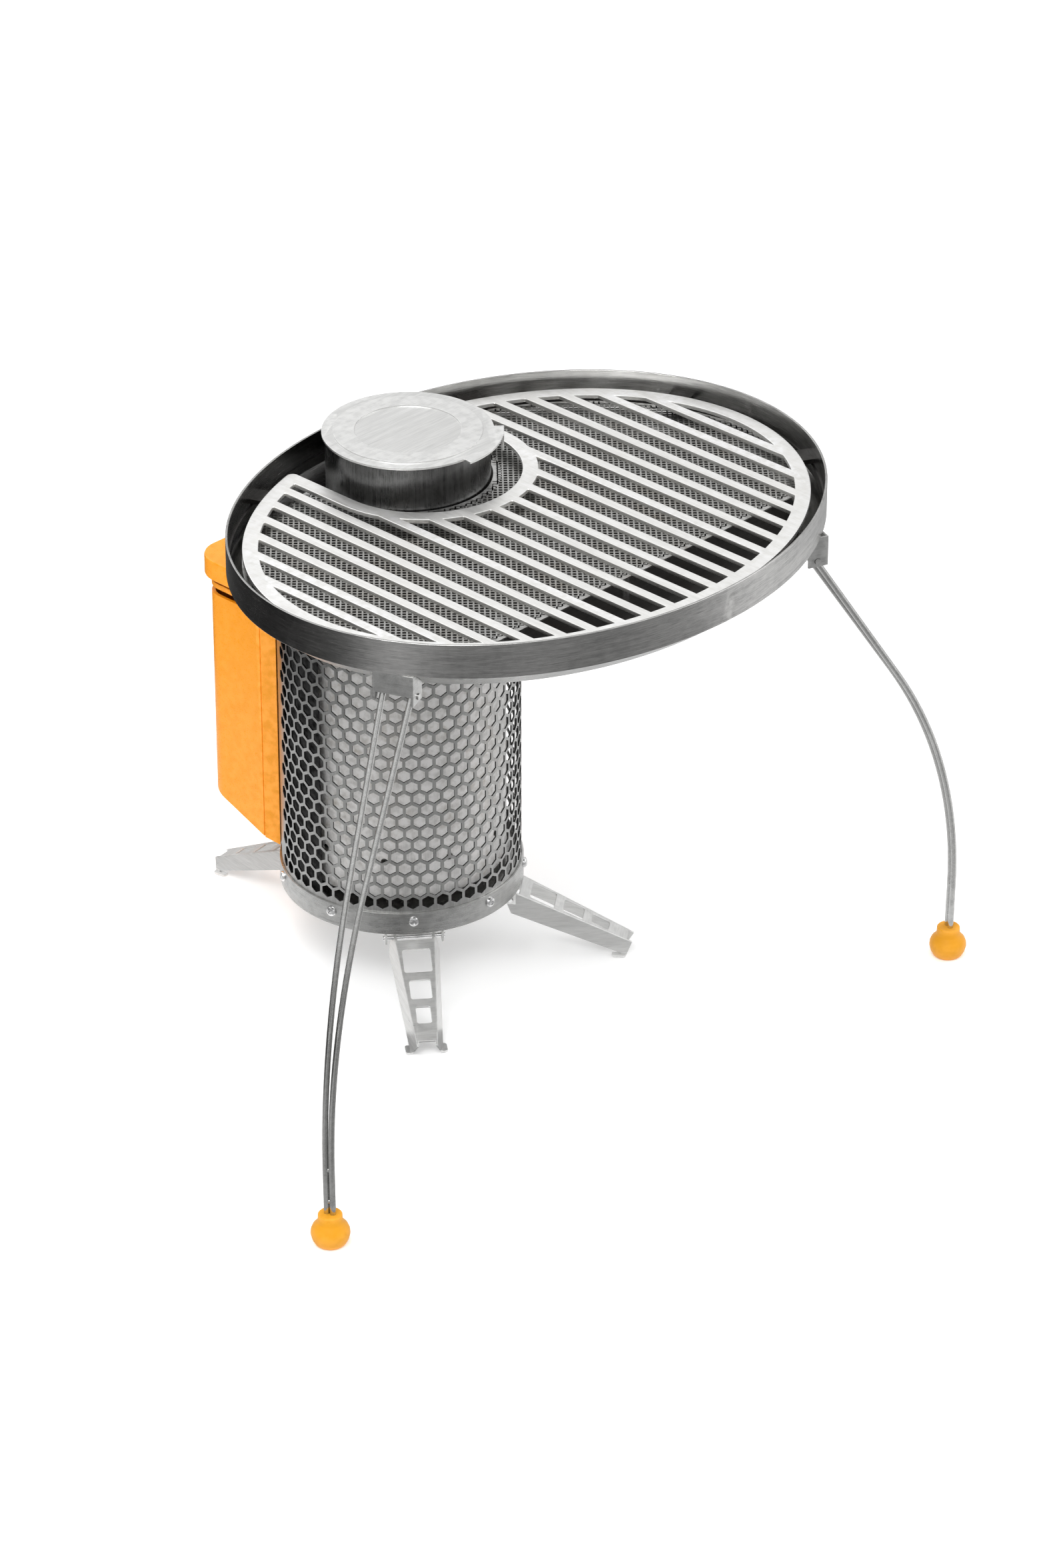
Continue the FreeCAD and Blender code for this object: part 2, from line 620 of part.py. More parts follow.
def heat_path():
    probe = rod(PROBE_R, V(0, PROBE_TIP_Y, PROBE_Z), V(0, PROBE_PLATE_Y, PROBE_Z))
    half = PROBE_PLATE_W / 2
    plate_end = PROBE_PLATE_Y + PROBE_PLATE
    plate = block(-half, half, PROBE_PLATE_Y, plate_end, PROBE_Z - half, PROBE_Z + half)
    pieces["heat_probe"] = joined([probe, plate])

    half = TEG_W / 2
    teg_end = plate_end + TEG_T
    pieces["thermoelectric_plate"] = block(-half, half, plate_end, teg_end, PROBE_Z - half, PROBE_Z + half)

    half = SINK_W / 2
    base_end = teg_end + SINK_BASE
    sink = [block(-half, half, teg_end, base_end, PROBE_Z - half, PROBE_Z + half)]
    step = (SINK_W - FIN_T) / (SINK_FINS - 1)
    for index in range(SINK_FINS):
        x = -half + index * step
        sink.append(block(x, x + FIN_T, base_end, base_end + FIN_DEPTH, PROBE_Z - half, PROBE_Z + half))
    pieces["heat_sink"] = joined(sink)


def electronics():
    board_out = BOARD_Y + BOARD_T
    wall_in_y = MODULE_OUT_Y - MODULE_WALL
    board = block(-BOARD_HALF_W, BOARD_HALF_W, BOARD_Y, board_out, BOARD_Z[0], BOARD_Z[1])
    button_in_y = wall_in_y - BUTTON_FLANGE_T
    switch_tip_y = button_in_y - SWITCH_STROKE
    switch = rod(SWITCH_R, V(BUTTON_X, board_out, BUTTON_Z), V(BUTTON_X, switch_tip_y, BUTTON_Z))
    pieces["circuit_board"] = joined([board, switch])

    battery_y = BOARD_Y - BATTERY_R
    battery_z = (BOARD_Z[0] + BOARD_Z[1] - BATTERY_LEN) / 2
    pieces["battery"] = cylinder(BATTERY_R, battery_z, battery_z + BATTERY_LEN, BATTERY_X, battery_y)

    face_y = BOARD_Y - MOTOR_LEN
    motor = rod(MOTOR_R, V(0, face_y, AIR_PORT_Z), V(0, BOARD_Y, AIR_PORT_Z))
    shaft = rod(SHAFT_R, V(0, face_y - SHAFT_LEN, AIR_PORT_Z), V(0, face_y, AIR_PORT_Z))
    pieces["fan_motor"] = joined([motor, shaft])

    hub_y = face_y - HUB_MOTOR_GAP
    hub = rod(HUB_R, V(0, hub_y - HUB_LEN, AIR_PORT_Z), V(0, hub_y, AIR_PORT_Z))
    half = BLADE_CHORD / 2
    mid_y = hub_y - HUB_LEN / 2
    blades = []
    for index in range(BLADE_COUNT):
        blade = block(0, BLADE_R, -half, half, -BLADE_T / 2, BLADE_T / 2)
        blade.rotate(V(0, 0, 0), V(1, 0, 0), BLADE_PITCH_DEG)
        blade.rotate(V(0, 0, 0), V(0, 1, 0), index * 360.0 / BLADE_COUNT)
        blade.translate(V(0, mid_y, AIR_PORT_Z))
        blades.append(blade)
    bore_end = V(0, face_y - SHAFT_LEN - SHAFT_GAP, AIR_PORT_Z)
    bore = rod(SHAFT_R + SHAFT_GAP, bore_end, V(0, hub_y, AIR_PORT_Z))
    pieces["fan_rotor"] = joined([hub] + blades).cut(bore)

    x0 = USB_X - USB_W / 2
    z0 = USB_Z - USB_H / 2
    socket = block(x0, x0 + USB_W, board_out, MODULE_OUT_Y, z0, z0 + USB_H)
    mouth = block(x0 + USB_SHEET, x0 + USB_W - USB_SHEET, board_out + USB_SHEET, MODULE_OUT_Y,
                  z0 + USB_SHEET, z0 + USB_H - USB_SHEET)
    tongue = block(x0 + USB_SHEET, x0 + USB_W - USB_SHEET, board_out + USB_SHEET, wall_in_y,
                   z0 + USB_H - USB_SHEET - USB_TONGUE, z0 + USB_H - USB_SHEET)
    pieces["usb_socket"] = joined([socket.cut(mouth), tongue])

    start = V(BUTTON_X, button_in_y, BUTTON_Z)
    stem = rod(BUTTON_R, start, V(BUTTON_X, MODULE_OUT_Y + BUTTON_OUT, BUTTON_Z))
    flange = rod(BUTTON_R + BUTTON_FLANGE, start, V(BUTTON_X, wall_in_y, BUTTON_Z))
    pieces["power_button"] = joined([stem, flange])


# Oval grill
def pan_outside():
    return oval_bowl(RIM_WALL, TOP_Z, RIM_BOTTOM_Z, RIM_BOTTOM_Z + PAN_FLANGE)


def grill_body():
    floor_z = TOP_Z + PAN_SHEET
    pieces["rim_band"] = oval(0, RIM_BOTTOM_Z, RIM_TOP_Z).cut(oval(RIM_WALL, RIM_BOTTOM_Z, RIM_TOP_Z))

    hollow = oval_bowl(RIM_WALL + PAN_SHEET, floor_z, RIM_BOTTOM_Z, RIM_BOTTOM_Z + PAN_FLANGE)
    collar_in = COLLAR_R - COLLAR_WALL
    pan = less(pan_outside(), [hollow, u_block(collar_in, PORT_BACK_Y, TOP_Z, floor_z)])
    lug_out = TOP_OPENING_R - LUG_GAP
    lug_z = TOP_Z - LUG_DROP
    lugs = [sector(lug_out, lug_out - LUG_T, lug_z, TOP_Z, deg0, deg1) for deg0, deg1 in LUGS_DEG]
    pan = joined([pan] + lugs)
    pieces["grill_pan"] = pan

    back_y = GRILL_Y + RIM_B
    lip_z = COLLAR_TOP_Z - COLLAR_WALL
    lip_in = COLLAR_R - COLLAR_FLANGE
    collar = tube(COLLAR_R, collar_in, floor_z, lip_z, 0, PORT_Y)
    collar = joined([collar, tube(COLLAR_R, lip_in, lip_z, COLLAR_TOP_Z, 0, PORT_Y)])
    above = oval(RIM_WALL, RIM_BOTTOM_Z + PAN_FLANGE, COLLAR_TOP_Z)
    pieces["port_collar"] = collar.common(hollow.fuse(above))

    top = DIFFUSER_Z + DIFFUSER_T
    plate = oval(DIFFUSER_INSET, DIFFUSER_Z, top)
    plate = plate.common(block(-RIM_A, RIM_A, DIFFUSER_FRONT_Y, DIFFUSER_BACK_Y, DIFFUSER_Z, top))
    pieces["diffuser_plate"] = plate.cut(u_block(COLLAR_R + DIFFUSER_PORT_GAP, back_y, DIFFUSER_Z, top))
    posts = [cylinder(POST_R, floor_z, DIFFUSER_Z, x, GRILL_Y + y) for x, y in POSTS]
    pieces["diffuser_posts"] = Part.makeCompound(posts)

    grate_under = GRATE_TOP_Z - GRATE_T
    inside = oval(RIM_WALL, grate_under - LEDGE_T, grate_under)
    ledges = []
    for deg in LEDGE_DEG:
        turn = math.radians(deg)
        point = V(RIM_A * math.cos(turn), GRILL_Y + RIM_B * math.sin(turn), 0)
        normal = math.degrees(math.atan2(math.sin(turn) / RIM_B, math.cos(turn) / RIM_A))
        ledge = block(-LEDGE_REACH, RIM_WALL, -LEDGE_W / 2, LEDGE_W / 2, grate_under - LEDGE_T, grate_under)
        ledge = turned_about_z(ledge, normal)
        ledge.translate(point)
        ledges.append(ledge.common(inside))
    pieces["grate_ledges"] = Part.makeCompound(ledges)


def grate_outline(inset, z0, z1):
    """The grate's plan: the oval less the fuel port, drawn in by a distance."""
    radius = GRATE_PORT_R + inset
    port = cylinder(radius, z0, z1, 0, GRATE_PORT_Y)
    way_out = block(-radius, radius, GRATE_PORT_Y, RIM_B, z0, z1)
    return less(oval(RIM_WALL + GRATE_GAP + inset, z0, z1), [port, way_out])


def cooking_grate():
    z0 = GRATE_TOP_Z - GRATE_T
    outline = grate_outline(0, z0, GRATE_TOP_Z)
    horns = [e for e in outline.Edges
             if abs(e.tangentAt(e.FirstParameter).z) > 0.9 and e.CenterOfMass.y > 0]
    outline = outline.makeFillet(HORN_ROUND, horns)
    frame = outline.cut(grate_outline(FRAME_W, z0, GRATE_TOP_Z))
    bars = []
    count = int((RIM_A - RIM_WALL - GRATE_GAP) // BAR_PITCH) + 1
    for index in range(count):
        for side in (-1, 1):
            x = side * (index + 0.5) * BAR_PITCH
            bar = block(x - BAR_W / 2, x + BAR_W / 2, GRILL_Y - RIM_B, GRILL_Y + RIM_B, z0, GRATE_TOP_Z)
            bars.append(bar)
    bars = Part.makeCompound(bars).common(outline)
    pieces["grate"] = joined([frame] + bars.Solids)


def port_lid():
    z0 = COLLAR_TOP_Z
    z1 = z0 + LID_T
    lid = cylinder(LID_R, z0, z1, 0, PORT_Y)
    step = tube(LID_STEP_R[1], LID_STEP_R[0], z1, z1 + LID_STEP, 0, PORT_Y)
    spigot_r = COLLAR_R - COLLAR_FLANGE - LID_SPIGOT_GAP
    spigot = tube(spigot_r, spigot_r - LID_SPIGOT_WALL, z0 - LID_SPIGOT, z0, 0, PORT_Y)
    ear = sector(EAR_R, LID_R - 1, z0, z1, EAR_DEG[0], EAR_DEG[1], 0, PORT_Y)
    tongue = block(EAR_R - LID_T, EAR_R, -TONGUE_W / 2, TONGUE_W / 2, z1 - TONGUE_LEN, z1)
    tongue = turned_about_z(tongue, EAR_DEG[1] - math.degrees(TONGUE_W / 2 / EAR_R))
    tongue.translate(V(0, PORT_Y, 0))
    pieces["port_lid"] = joined([lid, step, spigot, ear, tongue])


# Folding wire legs
def bent_wire(side):
    """One strand in the leg's own plane: X outwards, Y across, Z up from the hinge."""
    knee_x, knee_drop = WIRE_KNEE
    top = V(0, side * WIRE_TOP_HALF, 0)
    knee = V(knee_x, side * WIRE_LOW_HALF, -knee_drop)
    end = V(WIRE_FOOT_RUN, side * WIRE_LOW_HALF, WIRE_END_Z - WIRE_HINGE_Z)
    up = top.sub(knee)
    up.normalize()
    down = end.sub(knee)
    down.normalize()
    arc_start = knee.add(up * WIRE_KNEE_TANGENT)
    arc_end = knee.add(down * WIRE_KNEE_TANGENT)
    half_turn = (math.pi - up.getAngle(down)) / 2
    radius = WIRE_KNEE_TANGENT / math.tan(half_turn)
    inward = up.add(down)
    inward.normalize()
    middle = knee.add(inward * (radius / math.cos(half_turn) - radius))
    arc = Part.Arc(arc_start, middle, arc_end).toShape()
    path = Part.Wire([Part.makeLine(top, arc_start), arc, Part.makeLine(arc_end, end)])
    profile = Part.Wire([Part.makeCircle(WIRE_R, top, arc_start.sub(top))])
    return path.makePipeShell([profile], True, False), knee, end


def wire_leg():
    strands = []
    for side in (-1, 1):
        strand, knee, end = bent_wire(side)
        strands.append(strand)
    reach = EYE_HALF_W + PIVOT_STANDOUT
    axle = rod(WIRE_R, V(0, -reach, 0), V(0, reach, 0))
    down = V(end.x - knee.x, 0, end.z - knee.z)
    foot_side = V(knee.x, 0, knee.z).add(down * (WIRE_KNEE_TANGENT / down.Length))
    low = V(end.x, 0, end.z)
    welds = []
    for share in WELD_SHARES:
        at = foot_side.add(low.sub(foot_side) * share)
        welds.append(rod(WELD_R, at.add(V(0, -WIRE_LOW_HALF, 0)), at.add(V(0, WIRE_LOW_HALF, 0))))
    return joined([axle] + strands + welds)


def wire_bracket():
    """The channel that carries one wire leg, open downwards, leg towards +X."""
    cheek_in = EYE_HALF_W - EYE_SHEET
    top = RIM_BOTTOM_Z - WIRE_HINGE_Z
    parts = [block(EYE_FRONT - EYE_SHEET, EYE_FRONT, -EYE_HALF_W, EYE_HALF_W, EYE_FACE_DROP, top)]
    for side in (-1, 1):
        y0, y1 = sorted((side * cheek_in, side * EYE_HALF_W))
        parts.append(block(-EYE_BACK, EYE_FRONT, y0, y1, -EYE_DROP, top))
    body = joined(parts)
    return body.cut(rod(WIRE_R + PIVOT_GAP, V(0, -EYE_HALF_W - 1, 0), V(0, EYE_HALF_W + 1, 0)))


def grill_legs():
    pan = pan_outside()
    for name, (oval_deg, inset, out) in WIRE_LEGS.items():
        deg = math.degrees(math.atan2(out[1], out[0]))
        place = math.radians(oval_deg)
        at = V((RIM_A - inset) * math.cos(place), GRILL_Y + (RIM_B - inset) * math.sin(place), WIRE_HINGE_Z)
        leg = turned_about_z(wire_leg(), deg)
        leg.translate(at)
        bracket = turned_about_z(wire_bracket(), deg)
        bracket.translate(at)
        pieces["wire_leg_" + name] = leg
        pieces["wire_bracket_" + name] = bracket.cut(pan)
        size = math.hypot(out[0], out[1])
        foot_x = at.x + WIRE_FOOT_RUN * out[0] / size
        foot_y = at.y + WIRE_FOOT_RUN * out[1] / size
        outline = [(0, 0)] + list(FOOT_PROFILE) + [(0, FOOT_PROFILE[-1][1])]
        pieces["rubber_foot_" + name] = turned(outline, foot_x, foot_y).cut(leg)


def export():
    points = [point for shape in pieces.values() for point in shape.tessellate(BOX_FACET)[0]]
    across = [point.x for point in points]
    along = [point.y for point in points]
    shift = V(-(min(across) + max(across)) / 2, -(min(along) + max(along)) / 2, 0)
    print("stove axis from the origin: %.3f %.3f %.3f" % (shift.x, shift.y, shift.z))
    os.makedirs("parts", exist_ok=True)
    for name, shape in pieces.items():
        shape.translate(shift)
        shape.exportStep("parts/%s.step" % name)


stove_body()
stove_legs()
fan_module()
heat_path()
electronics()
grill_body()
cooking_grate()
port_lid()
grill_legs()
export()
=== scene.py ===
"""Looks of a wood-burning camp stove with an oval grill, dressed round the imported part.

Metres, Z up, in the same frame as the solids. Every piece sits where its
solid sits and rides on that solid's body.
"""

import logging
import math
from dataclasses import dataclass, field
from enum import Enum
from typing import Callable, Sequence

import bpy
from mathutils import Matrix, Vector


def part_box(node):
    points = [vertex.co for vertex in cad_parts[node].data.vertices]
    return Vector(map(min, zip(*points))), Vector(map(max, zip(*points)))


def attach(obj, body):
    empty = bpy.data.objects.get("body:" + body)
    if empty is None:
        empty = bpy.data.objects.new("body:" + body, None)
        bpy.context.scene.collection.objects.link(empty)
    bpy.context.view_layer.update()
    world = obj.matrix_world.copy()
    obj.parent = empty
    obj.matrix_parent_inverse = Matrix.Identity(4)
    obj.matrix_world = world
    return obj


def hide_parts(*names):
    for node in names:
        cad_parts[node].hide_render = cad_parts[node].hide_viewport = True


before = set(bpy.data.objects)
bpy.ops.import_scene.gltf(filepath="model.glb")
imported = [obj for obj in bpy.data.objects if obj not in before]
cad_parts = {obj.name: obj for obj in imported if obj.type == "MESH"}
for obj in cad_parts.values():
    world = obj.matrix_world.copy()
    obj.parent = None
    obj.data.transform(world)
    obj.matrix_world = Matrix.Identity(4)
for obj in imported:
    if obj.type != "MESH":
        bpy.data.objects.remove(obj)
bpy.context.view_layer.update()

MM = 0.001
SMOOTH_ANGLE = math.radians(32.0)
FLAT_ANGLE = math.radians(0.4)
MERGE = 2e-6
ARRAY_MERGE = 0.02 * MM
SEAM_MERGE = 0.05 * MM
SCRATCH_DEPTH = 0.12 * MM
GRAIN_DEPTH = 0.1 * MM

# How far a face's normal points a way, as a share of its length
MOSTLY = 0.9
HALFWAY = 0.5
A_LITTLE = 0.3

logging.basicConfig(level=logging.INFO, format="%(message)s")
log = logging.getLogger("stove")

Piece = bpy.types.Object
Point = tuple[float, float, float]
Colour = tuple[float, float, float]
Shares = tuple[tuple[float, float], ...]


class Grain(Enum):
    """Direction in which a sheet was brushed, as a scale of the grain along X, Y and Z."""

    ALONG_X = (0.04, 1.0, 1.0)
    ALONG_Y = (1.0, 0.04, 1.0)
    LEVEL = (0.05, 0.05, 1.0)
    UPRIGHT = (1.0, 1.0, 0.04)
    NONE = (1.0, 1.0, 1.0)


class Side(Enum):
    """Where a leg stands: the grill has a left and a right one, the stove a rear one too."""

    LEFT = "left"
    RIGHT = "right"
    REAR = "rear"


# Working with one object at a time
def deselect() -> None:
    """Leave edit mode and select nothing."""
    active = bpy.context.view_layer.objects.active
    if active is not None and active.mode != "OBJECT":
        bpy.ops.object.mode_set(mode="OBJECT")
    bpy.ops.object.select_all(action="DESELECT")


def take(piece: Piece) -> None:
    """Make one object the only selected and active one.

    Args:
        piece: The object to work on.
    """
    deselect()
    piece.select_set(True)
    bpy.context.view_layer.objects.active = piece


def named(name: str) -> Piece:
    """Name the object just added and settle its place into its mesh.

    Args:
        name: The piece's name.

    Returns:
        The active object.
    """
    piece = bpy.context.active_object
    piece.name = name
    piece.data.name = name
    bpy.ops.object.transform_apply(location=True, rotation=True, scale=True)
    return piece


def edit(piece: Piece, mode: str = "FACE") -> None:
    """Enter edit mode on a piece with everything selected.

    Args:
        piece: The object to edit.
        mode: What is selected: VERT, EDGE or FACE.
    """
    take(piece)
    bpy.ops.object.mode_set(mode="EDIT")
    bpy.ops.mesh.select_mode(type=mode)
    bpy.ops.mesh.select_all(action="SELECT")


def choose_faces(piece: Piece, test: Callable[[bpy.types.MeshPolygon], bool]) -> int:
    """Enter edit mode with only the faces selected that pass a test.

    Args:
        piece: The object to edit.
        test: Says of a face whether it is wanted.

    Returns:
        The number of faces selected.
    """
    edit(piece)
    bpy.ops.mesh.select_all(action="DESELECT")
    bpy.ops.object.mode_set(mode="OBJECT")
    wanted = [test(face) for face in piece.data.polygons]
    piece.data.polygons.foreach_set("select", wanted)
    bpy.ops.object.mode_set(mode="EDIT")
    return sum(wanted)


def finish_with(piece: Piece, kind: str, **settings: object) -> None:
    """Add a modifier to a piece and apply it.

    Args:
        piece: The object that it finishes.
        kind: The modifier's type.
        settings: The modifier's own values.
    """
    take(piece)
    modifier = piece.modifiers.new(kind.title(), kind)
    for name, value in settings.items():
        setattr(modifier, name, value)
    bpy.ops.object.modifier_apply(modifier=modifier.name)


def repeated(piece: Piece, steps: Sequence[tuple[int, Point]]) -> None:
    """Repeat a piece along one direction after another and merge where copies meet.

    Args:
        piece: The object to repeat.
        steps: For each direction, how many there are and how far apart.
    """
    for count, offset in steps:
        finish_with(piece, "ARRAY", count=count, use_relative_offset=False, use_constant_offset=True,
                    constant_offset_displace=offset, use_merge_vertices=True, merge_threshold=ARRAY_MERGE)


def outwards(face: bpy.types.MeshPolygon, centre: Vector) -> Vector:
    """Find the level direction from an upright axis to a face.

    Args:
        face: The face.
        centre: A point on the axis.

    Returns:
        The direction, with a length of one.
    """
    return Vector((face.center.x - centre.x, face.center.y - centre.y, 0.0)).normalized()


def smooth(piece: Piece) -> None:
    """Shade a piece smooth except over its sharp edges."""
    take(piece)
    bpy.ops.object.shade_smooth_by_angle(angle=SMOOTH_ANGLE)


def soften(piece: Piece, width: float, segments: int = 2) -> None:
    """Round the sharp edges of a piece.

    Args:
        piece: The object to round.
        width: Width of the rounding, in metres.
        segments: Steps of the rounding.
    """
    finish_with(piece, "BEVEL", width=width, segments=segments, limit_method="ANGLE",
                angle_limit=SMOOTH_ANGLE, use_clamp_overlap=False)
    smooth(piece)
    finish_with(piece, "WEIGHTED_NORMAL", keep_sharp=True)


def copy_of(node: str, name: str) -> Piece:
    """Copy a solid's mesh into a new object, its loose triangles merged.

    Args:
        node: The solid's name.
        name: The new piece's name.

    Returns:
        The new object.
    """
    piece = bpy.data.objects.new(name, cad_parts[node].data.copy())
    piece.data.name = name
    piece.data.materials.clear()
    bpy.context.scene.collection.objects.link(piece)
    take(piece)
    bpy.ops.mesh.customdata_custom_splitnormals_clear()
    edit(piece)
    bpy.ops.mesh.remove_doubles(threshold=MERGE)
    bpy.ops.mesh.dissolve_limited(angle_limit=FLAT_ANGLE)
    deselect()
    return piece


def dress(piece: Piece, finish: "Finish", body: str, *nodes: str) -> None:
    """Give a piece its finish, set it on its body and let it stand for its solids.

    Args:
        piece: The object to place.
        finish: The surface that it gets.
        body: The body that it rides on.
        nodes: The solids that it stands for.
    """
    piece.data.materials.clear()
    piece.data.materials.append(finish.material())
    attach(piece, body)
    if nodes:
        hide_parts(*nodes)
    log.info("%s: %d faces on %s", piece.name, len(piece.data.polygons), body)


def dress_node(node: str, finish: "Finish") -> None:
    """Give a solid that stays in view its finish.

    Args:
        node: The solid's name.
        finish: The surface that it gets.
    """
    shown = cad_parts[node]
    shown.data.materials.clear()
    shown.data.materials.append(finish.material())
    log.info("%s: finished as %s", node, finish.slot)


def second_finish(piece: Piece, finish: "Finish", test: Callable[[bpy.types.MeshPolygon], bool]) -> None:
    """Give some faces of a dressed piece another finish.

    Args:
        piece: The dressed piece.
        finish: The finish of those faces.
        test: Says of a face whether it gets that finish.
    """
    piece.data.materials.append(finish.material())
    choose_faces(piece, test)
    piece.active_material_index = len(piece.data.materials) - 1
    bpy.ops.object.material_slot_assign()
    deselect()


def rounded_copy(node: str, name: str, width: float) -> Piece:
    """Copy a solid and round its edges.

    Args:
        node: The solid's name.
        name: The new piece's name.
        width: Width of the rounding, in metres.

    Returns:
        The new object.
    """
    piece = copy_of(node, name)
    soften(piece, width)
    return piece


def joined(name: str, parts: Sequence[Piece]) -> Piece:
    """Join several objects into one.

    Args:
        name: The joined piece's name.
        parts: The objects to join.

    Returns:
        The joined object.
    """
    take(parts[0])
    for part in parts[1:]:
        part.select_set(True)
    bpy.ops.object.join()
    return named(name)


def scaled(shares: Shares, radius: float, height: float) -> list[tuple[float, float]]:
    """Give the rings of a turned shape their real size.

    Args:
        shares: Each ring's radius and height, as shares of the whole.
        radius: The whole radius, in metres.
        height: The whole height, in metres.

    Returns:
        Each ring's radius and height, in metres.
    """
    return [(radius * across, height * up) for across, up in shares]


def stacked(name: str, rings: Sequence[tuple[float, float]], x: float, y: float, sides: int) -> Piece:
    """Turn a closed shape by extruding a circle ring by ring.

    Args:
        name: The piece's name.
        rings: The radius and height of each ring, in metres, from below.
        x: The axis's place along X.
        y: The axis's place along Y.
        sides: Points in each ring.

    Returns:
        The new object.
    """
    deselect()
    radius, height = rings[0]
    bpy.ops.mesh.primitive_circle_add(vertices=sides, radius=radius, fill_type="NGON",
                                      location=(x, y, height))
    piece = named(name)
    edit(piece)
    for next_radius, next_height in rings[1:]:
        bpy.ops.mesh.extrude_region_move(TRANSFORM_OT_translate={"value": (0, 0, next_height - height)})
        share = next_radius / radius
        bpy.ops.transform.resize(value=(share, share, 1), center_override=(x, y, next_height))
        radius, height = next_radius, next_height
    bpy.ops.mesh.select_all(action="SELECT")
    bpy.ops.mesh.normals_make_consistent(inside=False)
    deselect()
    return piece


# Shader node groups shared by several finishes
def add_socket(group: bpy.types.NodeTree, name: str, kind: str, output: bool, value: object = None) -> None:
    """Add an input or output socket to a node group.

    Args:
        group: The group to extend.
        name: The socket's name.
        kind: The socket's type.
        output: Whether it is an output.
        value: The default of an input.
    """
    side = "OUTPUT" if output else "INPUT"
    socket = group.interface.new_socket(name=name, in_out=side, socket_type=kind)
    if value is not None:
        socket.default_value = value


class Effect(Enum):
    """Surface effects that more than one finish uses, each a shader node group."""

    BRUSHED = "Brushed grain"
    SMUDGES = "Smudges"
    EDGE_WEAR = "Edge wear"
    SPECKLE = "Moulded grain"
    HEAT = "Heat tint"

    def group(self) -> bpy.types.NodeTree:
        """Build the effect's node group once and return it."""
        known = bpy.data.node_groups.get(self.value)
        if known is not None:
            return known
        group = bpy.data.node_groups.new(self.value, "ShaderNodeTree")
        builders = {
            Effect.BRUSHED: build_brushed,
            Effect.SMUDGES: build_smudges,
            Effect.EDGE_WEAR: build_edge_wear,
            Effect.SPECKLE: build_speckle,
            Effect.HEAT: build_heat,
        }
        builders[self](group)
        return group


def add_noise(group: bpy.types.NodeTree, vector: bpy.types.NodeSocket, scale: float, detail: float,
              roughness: float = 0.5) -> bpy.types.NodeSocket:
    """Add a noise texture to a node tree.

    Args:
        group: The tree to extend.
        vector: The coordinates that it reads.
        scale: The noise's scale.
        detail: The noise's detail.
        roughness: How strong the fine detail is.

    Returns:
        The noise's factor.
    """
    noise = group.nodes.new("ShaderNodeTexNoise")
    noise.inputs["Scale"].default_value = scale
    noise.inputs["Detail"].default_value = detail
    noise.inputs["Roughness"].default_value = roughness
    group.links.new(vector, noise.inputs["Vector"])
    return noise.outputs["Fac"]


def add_range(group: bpy.types.NodeTree, value: bpy.types.NodeSocket, low: float, high: float,
              to_low: float = 0.0, to_high: float = 1.0) -> bpy.types.NodeSocket:
    """Stretch a value from one range to another, clamped.

    Args:
        group: The tree to extend.
        value: The value to stretch.
        low: Where the first range starts.
        high: Where the first range ends.
        to_low: Where the new range starts.
        to_high: Where the new range ends.

    Returns:
        The stretched value.
    """
    node = group.nodes.new("ShaderNodeMapRange")
    node.inputs["From Min"].default_value = low
    node.inputs["From Max"].default_value = high
    node.inputs["To Min"].default_value = to_low
    node.inputs["To Max"].default_value = to_high
    group.links.new(value, node.inputs["Value"])
    return node.outputs["Result"]


def add_math(group: bpy.types.NodeTree, operation: str, first: bpy.types.NodeSocket,
             second: bpy.types.NodeSocket | float) -> bpy.types.NodeSocket:
    """Combine two values.

    Args:
        group: The tree to extend.
        operation: The name of the operation.
        first: The first value.
        second: The second value, a socket or a number.

    Returns:
        The result.
    """
    node = group.nodes.new("ShaderNodeMath")
    node.operation = operation
    group.links.new(first, node.inputs[0])
    if isinstance(second, float):
        node.inputs[1].default_value = second
    else:
        group.links.new(second, node.inputs[1])
    return node.outputs[0]


def group_ends(group: bpy.types.NodeTree) -> tuple[bpy.types.Node, bpy.types.Node]:
    """Add the input and output nodes of a group and return them."""
    return group.nodes.new("NodeGroupInput"), group.nodes.new("NodeGroupOutput")


def build_brushed(group: bpy.types.NodeTree) -> None:
    """Fine parallel scratches: a height for bump and a tone for colour and roughness."""
    add_socket(group, "Vector", "NodeSocketVector", False)
    add_socket(group, "Height", "NodeSocketFloat", True)
    add_socket(group, "Tone", "NodeSocketFloat", True)
    start, end = group_ends(group)
    fine_share, broad_share = 0.55, 0.45
    fine = add_noise(group, start.outputs["Vector"], scale=2600.0, detail=3.0, roughness=0.6)
    broad = add_noise(group, start.outputs["Vector"], scale=420.0, detail=4.0, roughness=0.65)
    mixed = add_math(group, "ADD", add_math(group, "MULTIPLY", fine, fine_share),
                     add_math(group, "MULTIPLY", broad, broad_share))
    group.links.new(mixed, end.inputs["Height"])
    group.links.new(add_range(group, mixed, low=0.36, high=0.64), end.inputs["Tone"])


def build_smudges(group: bpy.types.NodeTree) -> None:
    """Soft uneven patches of handling and rolling, as a mask."""
    add_socket(group, "Vector", "NodeSocketVector", False)
    add_socket(group, "Size", "NodeSocketFloat", False, 30.0)
    add_socket(group, "Mask", "NodeSocketFloat", True)
    start, end = group_ends(group)
    noise = group.nodes.new("ShaderNodeTexNoise")
    noise.inputs["Detail"].default_value = 5.0
    noise.inputs["Distortion"].default_value = 0.6
    group.links.new(start.outputs["Vector"], noise.inputs["Vector"])
    group.links.new(start.outputs["Size"], noise.inputs["Scale"])
    group.links.new(add_range(group, noise.outputs["Fac"], low=0.38, high=0.66), end.inputs["Mask"])


